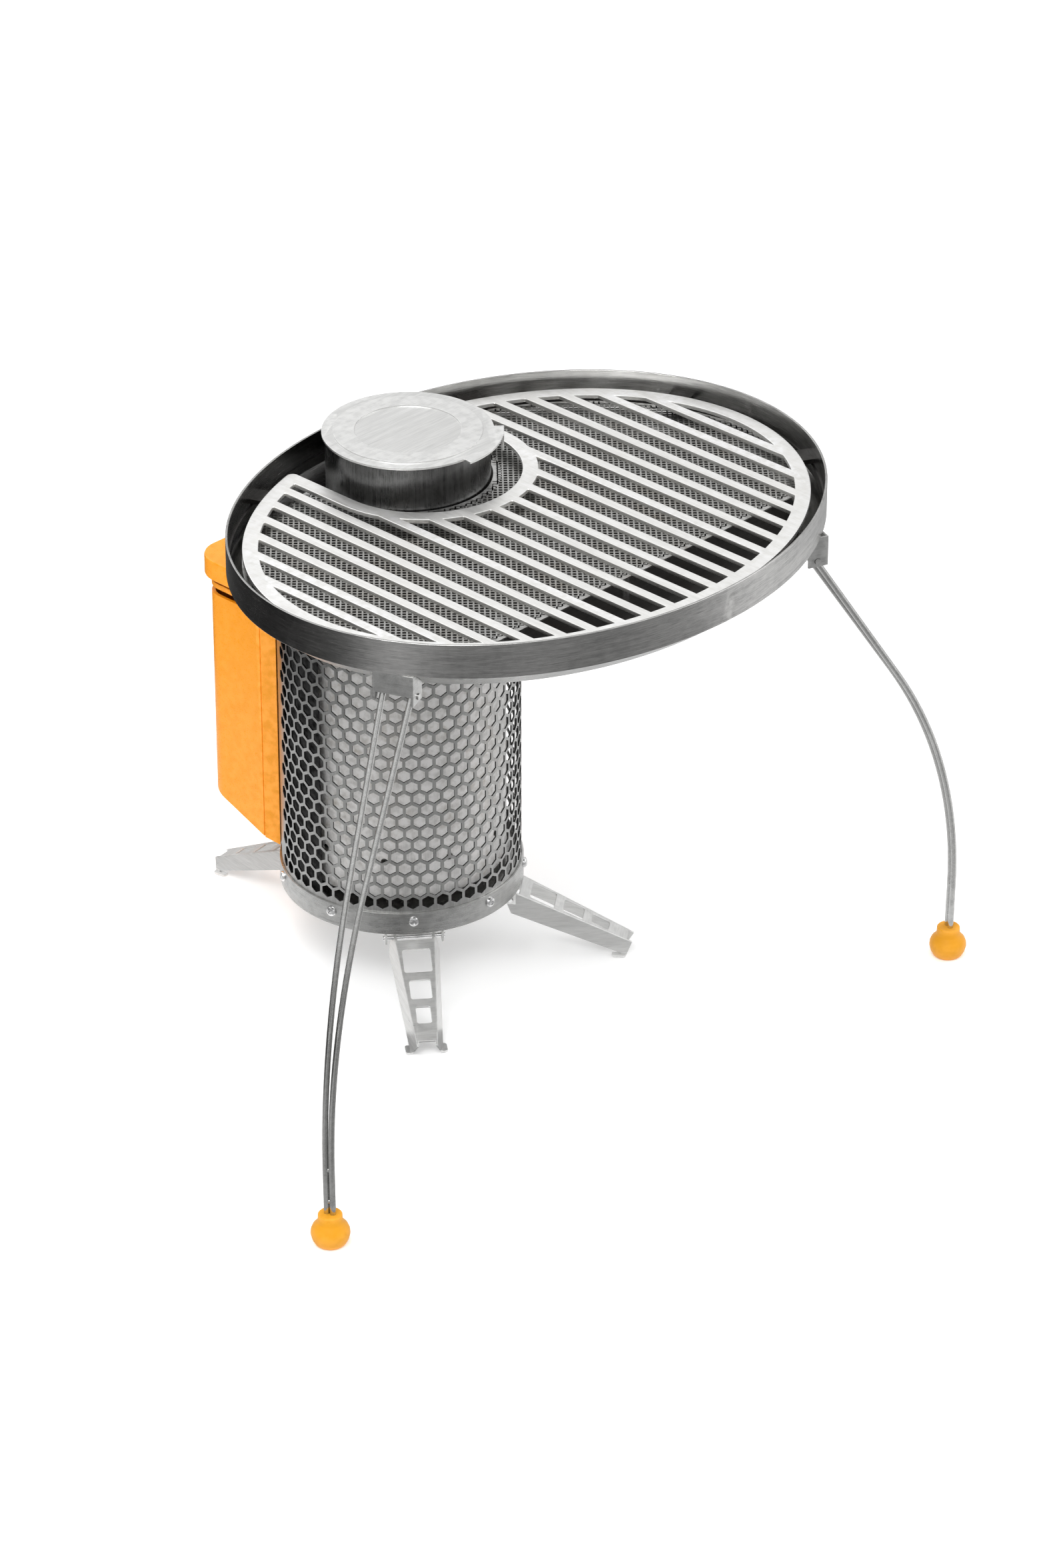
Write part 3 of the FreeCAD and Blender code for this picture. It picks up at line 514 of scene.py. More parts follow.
def build_edge_wear(group: bpy.types.NodeTree) -> None:
    """Where rounded edges have been rubbed, as a mask."""
    add_socket(group, "Vector", "NodeSocketVector", False)
    add_socket(group, "Mask", "NodeSocketFloat", True)
    start, end = group_ends(group)
    geometry = group.nodes.new("ShaderNodeNewGeometry")
    edge = add_range(group, geometry.outputs["Pointiness"], low=0.515, high=0.57)
    patches = add_noise(group, start.outputs["Vector"], scale=240.0, detail=4.0)
    patchy = add_range(group, patches, low=0.35, high=0.6)
    group.links.new(add_math(group, "MULTIPLY", edge, patchy), end.inputs["Mask"])


def build_speckle(group: bpy.types.NodeTree) -> None:
    """The fine even grain of a moulded surface, as a height and a tone."""
    add_socket(group, "Vector", "NodeSocketVector", False)
    add_socket(group, "Height", "NodeSocketFloat", True)
    add_socket(group, "Tone", "NodeSocketFloat", True)
    start, end = group_ends(group)
    grain = add_noise(group, start.outputs["Vector"], scale=1500.0, detail=2.0)
    group.links.new(grain, end.inputs["Height"])
    group.links.new(add_range(group, grain, low=0.3, high=0.7), end.inputs["Tone"])


def build_heat(group: bpy.types.NodeTree) -> None:
    """Patches where steel has been tinted by flame, as a mask."""
    add_socket(group, "Vector", "NodeSocketVector", False)
    add_socket(group, "Mask", "NodeSocketFloat", True)
    start, end = group_ends(group)
    cloud = add_noise(group, start.outputs["Vector"], scale=22.0, detail=3.0)
    streak = add_noise(group, start.outputs["Vector"], scale=90.0, detail=4.0)
    mixed = add_math(group, "MULTIPLY", add_range(group, cloud, low=0.4, high=0.65),
                     add_range(group, streak, low=0.3, high=0.7))
    group.links.new(mixed, end.inputs["Mask"])


# Finishes
def grey(tone: float) -> Colour:
    """Return a neutral colour."""
    return tone, tone, tone


def rubbed(colour: Colour, factor: float, lift: float = 0.0) -> Colour:
    """Lighten a colour as rubbing does.

    Args:
        colour: The colour to lighten.
        factor: What each part is multiplied by.
        lift: What is then added to it.

    Returns:
        The lighter colour, with no part over one.
    """
    return tuple(min(1.0, factor * part + lift) for part in colour)


class Surface:
    """A material under construction: a Principled shader read over Object coordinates."""

    def __init__(self, name: str, scale: Point = (1.0, 1.0, 1.0)) -> None:
        """Start an empty material.

        Args:
            name: The material's name.
            scale: Stretch of the grain along X, Y and Z.
        """
        self.material = bpy.data.materials.new(name)
        self.material.use_nodes = True
        self.tree = self.material.node_tree
        self.shader = self.tree.nodes["Principled BSDF"]
        coordinates = self.tree.nodes.new("ShaderNodeTexCoord")
        mapping = self.tree.nodes.new("ShaderNodeMapping")
        mapping.inputs["Scale"].default_value = scale
        self.tree.links.new(coordinates.outputs["Object"], mapping.inputs["Vector"])
        self.plain = coordinates.outputs["Object"]
        self.grained = mapping.outputs["Vector"]

    def set(self, **values: object) -> None:
        """Set sockets of the shader to constants; underscores stand for spaces."""
        for name, value in values.items():
            self.shader.inputs[name.replace("_", " ")].default_value = value

    def effect(self, effect: Effect, vector: bpy.types.NodeSocket) -> bpy.types.Node:
        """Place a shared effect in this material.

        Args:
            effect: Which effect.
            vector: The coordinates that it reads.

        Returns:
            The group's node.
        """
        node = self.tree.nodes.new("ShaderNodeGroup")
        node.node_tree = effect.group()
        self.tree.links.new(vector, node.inputs["Vector"])
        return node

    def tint(self, mask: bpy.types.NodeSocket, low: Colour | bpy.types.NodeSocket,
             high: Colour) -> bpy.types.NodeSocket:
        """Mix two colours by a mask.

        Args:
            mask: Where the second colour shows.
            low: The first colour, plain or from another node.
            high: The second colour.

        Returns:
            The mixed colour.
        """
        node = self.tree.nodes.new("ShaderNodeMix")
        node.data_type = "RGBA"
        self.tree.links.new(mask, node.inputs[0])
        if isinstance(low, tuple):
            node.inputs[6].default_value = (*low, 1.0)
        else:
            self.tree.links.new(low, node.inputs[6])
        node.inputs[7].default_value = (*high, 1.0)
        return node.outputs[2]

    def feed(self, socket: str, value: bpy.types.NodeSocket) -> None:
        """Link a value to one of the shader's sockets."""
        self.tree.links.new(value, self.shader.inputs[socket])

    def bump(self, height: bpy.types.NodeSocket, strength: float, distance: float) -> None:
        """Raise the surface by a height.

        Args:
            height: The height to follow.
            strength: How much of it is used.
            distance: The full height, in metres.
        """
        node = self.tree.nodes.new("ShaderNodeBump")
        node.inputs["Strength"].default_value = strength
        node.inputs["Distance"].default_value = distance
        self.tree.links.new(height, node.inputs["Height"])
        self.tree.links.new(node.outputs["Normal"], self.shader.inputs["Normal"])


@dataclass(frozen=True)
class Finish:
    """A surface that pieces can be given, by the record's slot name and its own look."""

    slot: str
    look: str = field(default="", kw_only=True)

    def material(self) -> bpy.types.Material:
        """Return the finish's material, built the first time."""
        known = bpy.data.materials.get(self.name())
        return known if known is not None else self.build()

    def name(self) -> str:
        """Return the material's name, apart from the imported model's own."""
        return "dressed_" + (self.look or self.slot)

    def build(self) -> bpy.types.Material:
        """Build the finish's material."""
        raise NotImplementedError


@dataclass(frozen=True)
class Steel(Finish):
    """Stainless sheet or wire: brushed, rolled or polished."""

    light: Colour
    dark: Colour
    roughness: float = 0.3
    spread: float = 0.12
    grain: Grain = Grain.LEVEL
    relief: float = 0.25
    heat: Colour | None = None
    metallic: float = 1.0

    def build(self) -> bpy.types.Material:
        """Build brushed metal whose tone and gloss follow the grain."""
        surface = Surface(self.name(), self.grain.value)
        brushed = surface.effect(Effect.BRUSHED, surface.grained)
        smudges = surface.effect(Effect.SMUDGES, surface.plain)
        wear = surface.effect(Effect.EDGE_WEAR, surface.plain)
        colour = surface.tint(brushed.outputs["Tone"], self.dark, self.light)
        if self.heat is not None:
            heat = surface.effect(Effect.HEAT, surface.plain)
            colour = surface.tint(heat.outputs["Mask"], colour, self.heat)
        colour = surface.tint(wear.outputs["Mask"], colour, rubbed(self.light, factor=1.12))
        surface.feed("Base Color", colour)
        tree = surface.tree
        half_tone = add_math(tree, "MULTIPLY", brushed.outputs["Tone"], 0.5)
        half_mask = add_math(tree, "MULTIPLY", smudges.outputs["Mask"], 0.5)
        gloss = add_math(tree, "ADD", half_tone, half_mask)
        low = self.roughness - self.spread / 2
        surface.feed("Roughness", add_range(tree, gloss, 0.0, 1.0, low, low + self.spread))
        surface.set(Metallic=self.metallic)
        surface.bump(brushed.outputs["Height"], self.relief, SCRATCH_DEPTH)
        return surface.material


@dataclass(frozen=True)
class Moulded(Finish):
    """Moulded plastic or rubber with a fine grain."""

    colour: Colour
    deep: Colour
    roughness: float = 0.42
    relief: float = 0.18
    sheen: float = 0.0
    shine: float = 0.5
    smudge_size: float = 14.0
    smoother: float = 0.05
    rougher: float = 0.07

    def build(self) -> bpy.types.Material:
        """Build a softly mottled moulded surface, lighter where edges are rubbed."""
        surface = Surface(self.name())
        speckle = surface.effect(Effect.SPECKLE, surface.plain)
        smudges = surface.effect(Effect.SMUDGES, surface.plain)
        smudges.inputs["Size"].default_value = self.smudge_size
        wear = surface.effect(Effect.EDGE_WEAR, surface.plain)
        colour = surface.tint(smudges.outputs["Mask"], self.colour, self.deep)
        lighter = rubbed(self.colour, factor=1.15, lift=0.03)
        surface.feed("Base Color", surface.tint(wear.outputs["Mask"], colour, lighter))
        gloss = add_range(surface.tree, speckle.outputs["Tone"], 0.0, 1.0, self.roughness - self.smoother,
                          self.roughness + self.rougher)
        surface.feed("Roughness", gloss)
        surface.set(Sheen_Weight=self.sheen, Specular_IOR_Level=self.shine)
        surface.bump(speckle.outputs["Height"], self.relief, GRAIN_DEPTH)
        return surface.material


SHELL = Steel("shell_steel", (0.54, 0.54, 0.53), (0.36, 0.36, 0.355), roughness=0.32, grain=Grain.UPRIGHT,
              relief=0.15)
# Near-black copy of the shell steel for the cut walls of the holes: painted shade inside the holes.
HOLE_SHADE = Steel("shell_steel", grey(0.07), grey(0.03), roughness=0.45, spread=0.10, grain=Grain.NONE,
                  relief=0.1, look="hole_edge_shade")
BODY = Steel("body_steel", (0.58, 0.58, 0.57), (0.38, 0.38, 0.375), spread=0.14, relief=0.35)
# A lighter, less metallic copy of the body steel for the legs and brackets: painted light for their bright
# reflections.
LEG_LIT = Steel("body_steel", (0.74, 0.74, 0.73), (0.58, 0.58, 0.57), roughness=0.34, spread=0.14, relief=0.3,
            metallic=0.7, look="lit_leg_steel")
# Pale and only partly metallic: painted light for the bright inner wall seen through the holes; the heat tint
# is staining.
CHAMBER_LIT = Steel("chamber_steel", (0.88, 0.87, 0.86), (0.68, 0.675, 0.66), roughness=0.42, spread=0.14,
                grain=Grain.UPRIGHT, relief=0.2, heat=(0.66, 0.62, 0.56), metallic=0.45)
# Near-black and matte though the baffle is steel: painted shade for the dark gap seen through the holes.
BAFFLE_SHADE = Moulded("baffle_steel", grey(0.012), grey(0.006), roughness=0.85, relief=0.2, shine=0.1)
RIM = Steel("rim_steel", (0.54, 0.535, 0.525), (0.29, 0.29, 0.285), roughness=0.22, relief=0.45)
GRATE = Steel("grate_steel", (0.95, 0.945, 0.925), (0.80, 0.795, 0.77), roughness=0.38, grain=Grain.ALONG_Y,
              relief=0.2)
DIFFUSER = Steel("diffuser_steel", (0.58, 0.58, 0.57), (0.36, 0.36, 0.35), roughness=0.36, spread=0.14,
                 grain=Grain.ALONG_X, relief=0.3, heat=(0.30, 0.27, 0.23))
# Near-black: painted shade and painted dark reflection on the upward faces of the pan under the grate and on
# the grate ledges; the heat tint is staining.
PAN_SHADE = Steel("pan_steel", (0.060, 0.058, 0.056), (0.025, 0.024, 0.023), roughness=0.40, spread=0.16,
            grain=Grain.ALONG_X, relief=0.2, heat=(0.04, 0.034, 0.03))
COLLAR = Steel("collar_steel", grey(0.15), grey(0.06), roughness=0.28, spread=0.14, grain=Grain.UPRIGHT,
               relief=0.3)
LID = Steel("lid_steel", (0.80, 0.80, 0.79), (0.64, 0.64, 0.63), roughness=0.40, spread=0.10,
            grain=Grain.ALONG_X, relief=0.3)
WIRE = Steel("wire_steel", (0.62, 0.62, 0.61), (0.42, 0.42, 0.41), roughness=0.14, spread=0.06,
             grain=Grain.NONE, relief=0.05)
SCREW = Steel("screw_steel", grey(0.78), grey(0.60), roughness=0.20, spread=0.08, grain=Grain.NONE,
              relief=0.1)
ORANGE = Moulded("orange_plastic", (0.84, 0.30, 0.004), (0.82, 0.29, 0.004), roughness=0.30, relief=0.06,
                 shine=0.35)
RUBBER = Moulded("orange_rubber", (0.72, 0.31, 0.004), (0.68, 0.28, 0.003), roughness=0.50, relief=0.3,
                 sheen=0.1, shine=0.3)
BACK = Moulded("back_metal", grey(0.05), grey(0.03), roughness=0.45)
PROBE = Steel("probe_metal", (0.72, 0.46, 0.32), (0.55, 0.33, 0.22), roughness=0.35, spread=0.14,
              grain=Grain.ALONG_Y)
SINK = Steel("sink_metal", (0.76, 0.77, 0.78), (0.62, 0.63, 0.64), roughness=0.36, spread=0.10,
             grain=Grain.UPRIGHT)
CERAMIC = Moulded("module_ceramic", (0.88, 0.88, 0.86), (0.80, 0.80, 0.78), roughness=0.55)
BOARD = Moulded("board_green", (0.04, 0.22, 0.09), (0.03, 0.16, 0.06), roughness=0.4)
CELL = Moulded("cell_wrap", (0.10, 0.14, 0.24), (0.07, 0.10, 0.18), roughness=0.25)
MOTOR = Steel("motor_can", grey(0.66), grey(0.52), spread=0.1, grain=Grain.ALONG_Y)
ROTOR = Moulded("rotor_black", grey(0.03), grey(0.02), roughness=0.4)
SOCKET = Steel("socket_steel", grey(0.74), grey(0.64), roughness=0.25, spread=0.1, grain=Grain.NONE,
               relief=0.1)
BUTTON = Moulded("button_grey", (0.06, 0.06, 0.065), (0.045, 0.045, 0.05), roughness=0.45)


# The stove
@dataclass
class StoveBody:
    """The perforated cylinder, its rings, screws and inner sheets."""

    radius: float = 63.0 * MM
    wall: float = 0.8 * MM
    columns: int = 50
    pairs: int = 15
    hole: float = 6.3 * MM
    first_row_z: float = 49.25 * MM
    plain_top_z: float = 243.0 * MM
    plain_from_deg: float = 29.5
    plain_to_deg: float = 150.5
    screw_first_deg: float = -129.5
    screw_count: int = 9
    screw_z: float = 46.0 * MM
    screw_radius: float = 2.8 * MM
    screw_head: float = 1.8 * MM
    screw_sides: int = 24
    screw_shape: Shares = ((1.0, 0.0), (1.0, 0.35), (0.86, 0.72), (0.55, 0.97), (0.40, 1.0), (0.36, 0.5))
    edge_round: float = 0.25 * MM

    def axis(self) -> Vector:
        """Return the stove's axis, at ground level."""
        low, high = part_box("perforated_shell")
        return Vector(((low.x + high.x) / 2, (low.y + high.y) / 2, 0.0))

    def perforated_shell(self) -> Piece:
        """Bend a flat honeycomb round into half a tube, copy it for the other half and open its holes.

        Returns:
            The shell.
        """
        pitch = 2 * math.pi * self.radius / self.columns
        step = pitch * math.sqrt(3) / 2
        deselect()
        bpy.ops.mesh.primitive_circle_add(vertices=6, radius=pitch / math.sqrt(3), fill_type="NGON",
                                          location=(0, 0, self.first_row_z), rotation=(math.pi / 2, 0, 0))
        shell = named("honeycomb_shell")
        edit(shell)
        bpy.ops.mesh.inset(thickness=(pitch - self.hole) / 2)
        half = self.columns // 2
        repeated(shell, [(2, (pitch / 2, 0, step)), (half, (pitch, 0, 0)), (self.pairs, (0, 0, 2 * step))])
        low_z = self.first_row_z + step / 2
        angle = math.pi * (half + 0.5) / half
        finish_with(shell, "SIMPLE_DEFORM", deform_method="BEND", deform_axis="Z", angle=angle)
        bent_to_plus_y = max(point.co.y for point in shell.data.vertices) > self.radius
        middle = Vector((0, self.radius if bent_to_plus_y else -self.radius, 0))
        edit(shell)
        bpy.ops.mesh.duplicate()
        bpy.ops.transform.rotate(value=math.pi, orient_axis="Z", center_override=middle)
        bpy.ops.mesh.select_all(action="SELECT")
        bpy.ops.mesh.remove_doubles(threshold=SEAM_MERGE)
        bpy.ops.transform.translate(value=self.axis() - middle)
        bpy.ops.mesh.normals_make_consistent(inside=False)
        deselect()
        centre = self.axis()

        def pierced(face: bpy.types.MeshPolygon) -> bool:
            """Say whether a face is a hexagon that becomes a hole."""
            deg = math.degrees(math.atan2(face.center.y - centre.y, face.center.x - centre.x))
            beside = self.plain_from_deg < deg < self.plain_to_deg
            return len(face.vertices) == 6 and low_z < face.center.z < self.plain_top_z and not beside

        count = choose_faces(shell, pierced)
        bpy.ops.mesh.delete(type="FACE")
        deselect()
        finish_with(shell, "SOLIDIFY", thickness=self.wall, offset=-1.0)
        smooth(shell)
        log.info("shell: %d holes", count)
        return shell

    def shade_hole_edges(self, shell: Piece) -> None:
        """Paint shade on the cut edges of the holes, as a near-black copy of the shell steel.

        Args:
            shell: The perforated shell, dressed.
        """
        centre = self.axis()

        def cut_edge(face: bpy.types.MeshPolygon) -> bool:
            """Say whether a face stands across the sheet."""
            return abs(face.normal.dot(outwards(face, centre))) < HALFWAY

        second_finish(shell, HOLE_SHADE, cut_edge)

    def screws(self) -> Piece:
        """Build the round-headed screws of the base ring.

        Returns:
            All the screws as one piece.
        """
        centre = self.axis()
        ring_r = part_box("base_ring")[1].x - centre.x
        rings = scaled(self.screw_shape, self.screw_radius, self.screw_head)
        heads = []
        for index in range(self.screw_count):
            head = stacked("screw", rings, 0.0, 0.0, self.screw_sides)
            smooth(head)
            deg = self.screw_first_deg + index * 360.0 / self.screw_count
            place = (Matrix.Translation(centre + Vector((0, 0, self.screw_z)))
                     @ Matrix.Rotation(math.radians(deg), 4, "Z")
                     @ Matrix.Translation((ring_r, 0, 0)) @ Matrix.Rotation(math.pi / 2, 4, "Y"))
            head.matrix_world = place
            take(head)
            bpy.ops.object.transform_apply(location=True, rotation=True, scale=True)
            heads.append(head)
        return joined("base_ring_screws", heads)

    def build(self) -> None:
        """Build and dress the whole body."""
        shell = self.perforated_shell()
        dress(shell, SHELL, "stove", "perforated_shell")
        self.shade_hole_edges(shell)
        dress(self.screws(), SCREW, "stove", "ring_screws")
        dress(rounded_copy("base_ring", "brushed_base_ring", self.edge_round), BODY, "stove", "base_ring")
        dress(rounded_copy("top_ring", "brushed_top_ring", self.edge_round), BODY, "stove", "top_ring")
        for node, finish in (("base_plate", BODY), ("burn_chamber", CHAMBER_LIT), ("air_baffle", BAFFLE_SHADE)):
            dress_node(node, finish)


@dataclass
class StoveLeg:
    """One folding leg with its bracket."""

    side: Side
    edge_round: float = 0.3 * MM

    def build(self) -> None:
        """Build and dress the leg and its bracket."""
        node = "stove_leg_" + self.side.value
        dress(rounded_copy(node, "folding_leg_" + self.side.value, self.edge_round), LEG_LIT,
              "leg_" + self.side.value, node)
        bracket = node + "_bracket"
        dress(rounded_copy(bracket, "leg_bracket_" + self.side.value, self.edge_round), LEG_LIT, "stove", bracket)


@dataclass
class FanModule:
    """The orange module on the stove's side and what it holds."""

    edge_round: float = 0.2 * MM
    cap_round: float = 1.0 * MM

    def build(self) -> None:
        """Build and dress the module."""
        housing = rounded_copy("module_housing", "orange_housing", self.edge_round)
        dress(housing, ORANGE, "module", "module_housing")
        dress(rounded_copy("module_cap", "orange_cap", self.cap_round), ORANGE, "module", "module_cap")
        inner = {
            "module_back_plate": BACK, "back_plate_rivets": SCREW, "heat_probe": PROBE,
            "thermoelectric_plate": CERAMIC, "heat_sink": SINK, "circuit_board": BOARD, "battery": CELL,
            "fan_motor": MOTOR, "fan_rotor": ROTOR, "usb_socket": SOCKET,
        }
        for node, finish in inner.items():
            dress_node(node, finish)
        dress(rounded_copy("power_button", "round_button", self.edge_round), BUTTON, "button", "power_button")


# The grill
@dataclass
class OvalGrill:
    """The rim, pan, collar and perforated plate."""

    rim_wall: float = 1.2 * MM
    rim_sides: int = 192
    edge_round: float = 0.3 * MM
    cell: float = 3.8 * MM
    hole: float = 1.9 * MM
    plate_edge: float = 4.0 * MM
    plate_wall: float = 0.5 * MM
    sheet_inset: float = 1.6 * MM
    collar_gap: float = 1.0 * MM

    def rim(self) -> Piece:
        """Build the oval band from a circle drawn up into a wall.

        Returns:
            The rim.
        """
        low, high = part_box("rim_band")
        middle = (low + high) / 2
        deselect()
        bpy.ops.mesh.primitive_circle_add(vertices=self.rim_sides, radius=(high.x - low.x) / 2,
                                          location=(middle.x, middle.y, low.z))
        rim = named("oval_rim")
        edit(rim, "EDGE")
        slimmer = (high.y - low.y) / (high.x - low.x)
        bpy.ops.transform.resize(value=(1, slimmer, 1), center_override=(middle.x, middle.y, low.z))
        bpy.ops.mesh.extrude_edges_move(TRANSFORM_OT_translate={"value": (0, 0, high.z - low.z)})
        bpy.ops.mesh.select_all(action="SELECT")
        bpy.ops.mesh.normals_make_consistent(inside=False)
        finish_with(rim, "SOLIDIFY", thickness=self.rim_wall, offset=-1.0, use_even_offset=True)
        soften(rim, self.edge_round, 3)
        return rim

    def perforated_plate(self) -> Piece:
        """Build the finely perforated plate inside a plain edge.

        Returns:
            The plate.
        """
        edge = copy_of("diffuser_plate", "plate_edge")
        low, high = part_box("diffuser_plate")
        choose_faces(edge, lambda face: abs(face.normal.z) > MOSTLY)
        bpy.ops.mesh.dissolve_faces()
        bpy.ops.mesh.inset(thickness=self.plate_edge)
        bpy.ops.mesh.delete(type="FACE")
        deselect()
        return joined("perforated_plate", [edge, self.mesh_sheet(low, high)])

    def mesh_sheet(self, low: Vector, high: Vector) -> Piece:
        """Build the sheet of small staggered holes and trim it to the plate's plan.

        Args:
            low: The plate's lowest corner.
            high: The plate's highest corner.

        Returns:
            The trimmed sheet.
        """
        columns = int((high.x - low.x) / self.cell)
        rows = int((high.y - low.y) / self.cell)
        start = ((low.x + high.x) / 2 - (columns - 1) * self.cell / 2,
                 (low.y + high.y) / 2 - (rows - 1) * self.cell / 2, high.z)
        deselect()
        bpy.ops.mesh.primitive_circle_add(vertices=4, radius=self.cell / 2, fill_type="NGON",
                                          location=start)
        sheet = named("mesh_sheet")
        edit(sheet)
        bpy.ops.mesh.inset(thickness=(self.cell / math.sqrt(2) - self.hole) / 2)
        bpy.ops.mesh.delete(type="FACE")
        half = self.cell / 2
        repeated(sheet, [(2, (half, half, 0)), (columns, (self.cell, 0, 0)), (rows, (0, self.cell, 0))])
        inside = self.plan_test(low, high)
        choose_faces(sheet, lambda face: not inside(face.center))
        bpy.ops.mesh.delete(type="FACE")
        deselect()
        finish_with(sheet, "SOLIDIFY", thickness=self.plate_wall, offset=-1.0)
        return sheet

    def plan_test(self, low: Vector, high: Vector) -> Callable[[Vector], bool]:
        """Make a test for points that lie inside the plate's plan, a little in from its edge.

        Args:
            low: The plate's lowest corner.
            high: The plate's highest corner.

        Returns:
            The test.
        """
        rim_low, rim_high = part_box("rim_band")
        collar_low, collar_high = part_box("port_collar")
        collar_x = (collar_low.x + collar_high.x) / 2
        collar_r = (collar_high.x - collar_low.x) / 2 + self.collar_gap + self.sheet_inset
        collar_y = collar_low.y + (collar_high.x - collar_low.x) / 2
        centre_x = (rim_low.x + rim_high.x) / 2
        centre_y = (rim_low.y + rim_high.y) / 2
        reach_x = (high.x - low.x) / 2 - self.sheet_inset
        reach_y = (rim_high.y - rim_low.y) / 2 - (rim_high.x - high.x) - self.sheet_inset
        front_y, rear_y = low.y + self.sheet_inset, high.y - self.sheet_inset

        def inside(point: Vector) -> bool:
            """Say whether a point is within the oval, between its flat ends and clear of the collar."""
            across = (point.x - centre_x) / reach_x
            along = (point.y - centre_y) / reach_y
            if across * across + along * along > 1 or not front_y < point.y < rear_y:
                return False
            if point.y > collar_y:
                return abs(point.x - collar_x) > collar_r
            return math.hypot(point.x - collar_x, point.y - collar_y) > collar_r

        return inside

    def build(self) -> None:
        """Build and dress the grill's fixed pieces."""
        dress(self.rim(), RIM, "grill", "rim_band")
        dress(self.perforated_plate(), DIFFUSER, "grill", "diffuser_plate")
        pan = copy_of("grill_pan", "pressed_pan")
        smooth(pan)
        dress(pan, PAN_SHADE, "grill", "grill_pan")
        low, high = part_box("rim_band")
        middle = (low + high) / 2

        def outside(face: bpy.types.MeshPolygon) -> bool:
            """Say whether a face looks down or away from the grill's middle."""
            return face.normal.z < -HALFWAY or face.normal.dot(outwards(face, middle)) > A_LITTLE

        # The pan's upward faces keep the painted shade; faces that look down or outwards get plain body
        # steel, steep inner walls the lighter rim steel.
        second_finish(pan, BODY, outside)
        second_finish(pan, RIM, lambda face: not outside(face) and face.normal.z < MOSTLY)
        dress(rounded_copy("port_collar", "fuel_collar", self.edge_round), COLLAR, "grill", "port_collar")
        for node, finish in (("diffuser_posts", SCREW), ("grate_ledges", PAN_SHADE)):
            dress_node(node, finish)


@dataclass
class CookingGrate:
    """The barred grate."""

    edge_round: float = 0.45 * MM

    def build(self) -> None:
        """Build and dress the grate."""
        dress(rounded_copy("grate", "barred_grate", self.edge_round), GRATE, "cooking_grate", "grate")


@dataclass
class PortLid:
    """The lid of the fuel port, with plain pressed rings."""

    edge_round: float = 0.25 * MM

    def build(self) -> None:
        """Build and dress the lid."""
        dress(rounded_copy("port_lid", "pressed_lid", self.edge_round), LID, "lid", "port_lid")


@dataclass
class WireLeg:
    """A folding leg of doubled wire with its bracket and rubber foot."""

    side: Side
    foot_sides: int = 32
    foot_shape: Shares = ((0.60, 0.0), (0.72, 0.0), (0.80, 0.04), (0.93, 0.18), (1.0, 0.34), (0.985, 0.46),
                          (0.90, 0.58), (0.70, 0.70), (0.64, 0.76), (0.62, 0.97), (0.57, 1.0), (0.30, 1.0))
    edge_round: float = 0.25 * MM

    def foot(self) -> Piece:
        """Build the rubber foot ring by ring over its solid.

        Returns:
            The foot.
        """
        low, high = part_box("rubber_foot_" + self.side.value)
        x, y = (low.x + high.x) / 2, (low.y + high.y) / 2
        rings = scaled(self.foot_shape, (high.x - low.x) / 2, high.z - low.z)
        foot = stacked("orange_foot_" + self.side.value, rings, x, y, self.foot_sides)
        smooth(foot)
        return foot

    def build(self) -> None:
        """Build and dress the leg, its bracket and its foot."""
        body = "grill_leg_" + self.side.value
        wires = copy_of("wire_leg_" + self.side.value, "double_wire_" + self.side.value)
        smooth(wires)
        dress(wires, WIRE, body, "wire_leg_" + self.side.value)
        dress(self.foot(), RUBBER, body, "rubber_foot_" + self.side.value)
        bracket = "wire_bracket_" + self.side.value
        channel = rounded_copy(bracket, "wire_channel_" + self.side.value, self.edge_round)
        dress(channel, BODY, "grill", bracket)


# The studio
@dataclass(frozen=True)
class SoftLight:
    """A square soft light, its place given from the point that it faces."""

    name: str
    place: Point
    size: float
    power: float

    def hang(self, aim: Vector) -> None:
        """Hang the light and turn it to its point.

        Args:
            aim: The point that it faces.
        """
        data = bpy.data.lights.new(self.name, "AREA")
        data.size = self.size
        data.energy = self.power
        lamp = bpy.data.objects.new(self.name, data)
        bpy.context.scene.collection.objects.link(lamp)
        lamp.location = aim + Vector(self.place)
        lamp.rotation_euler = (aim - lamp.location).to_track_quat("-Z", "Y").to_euler()


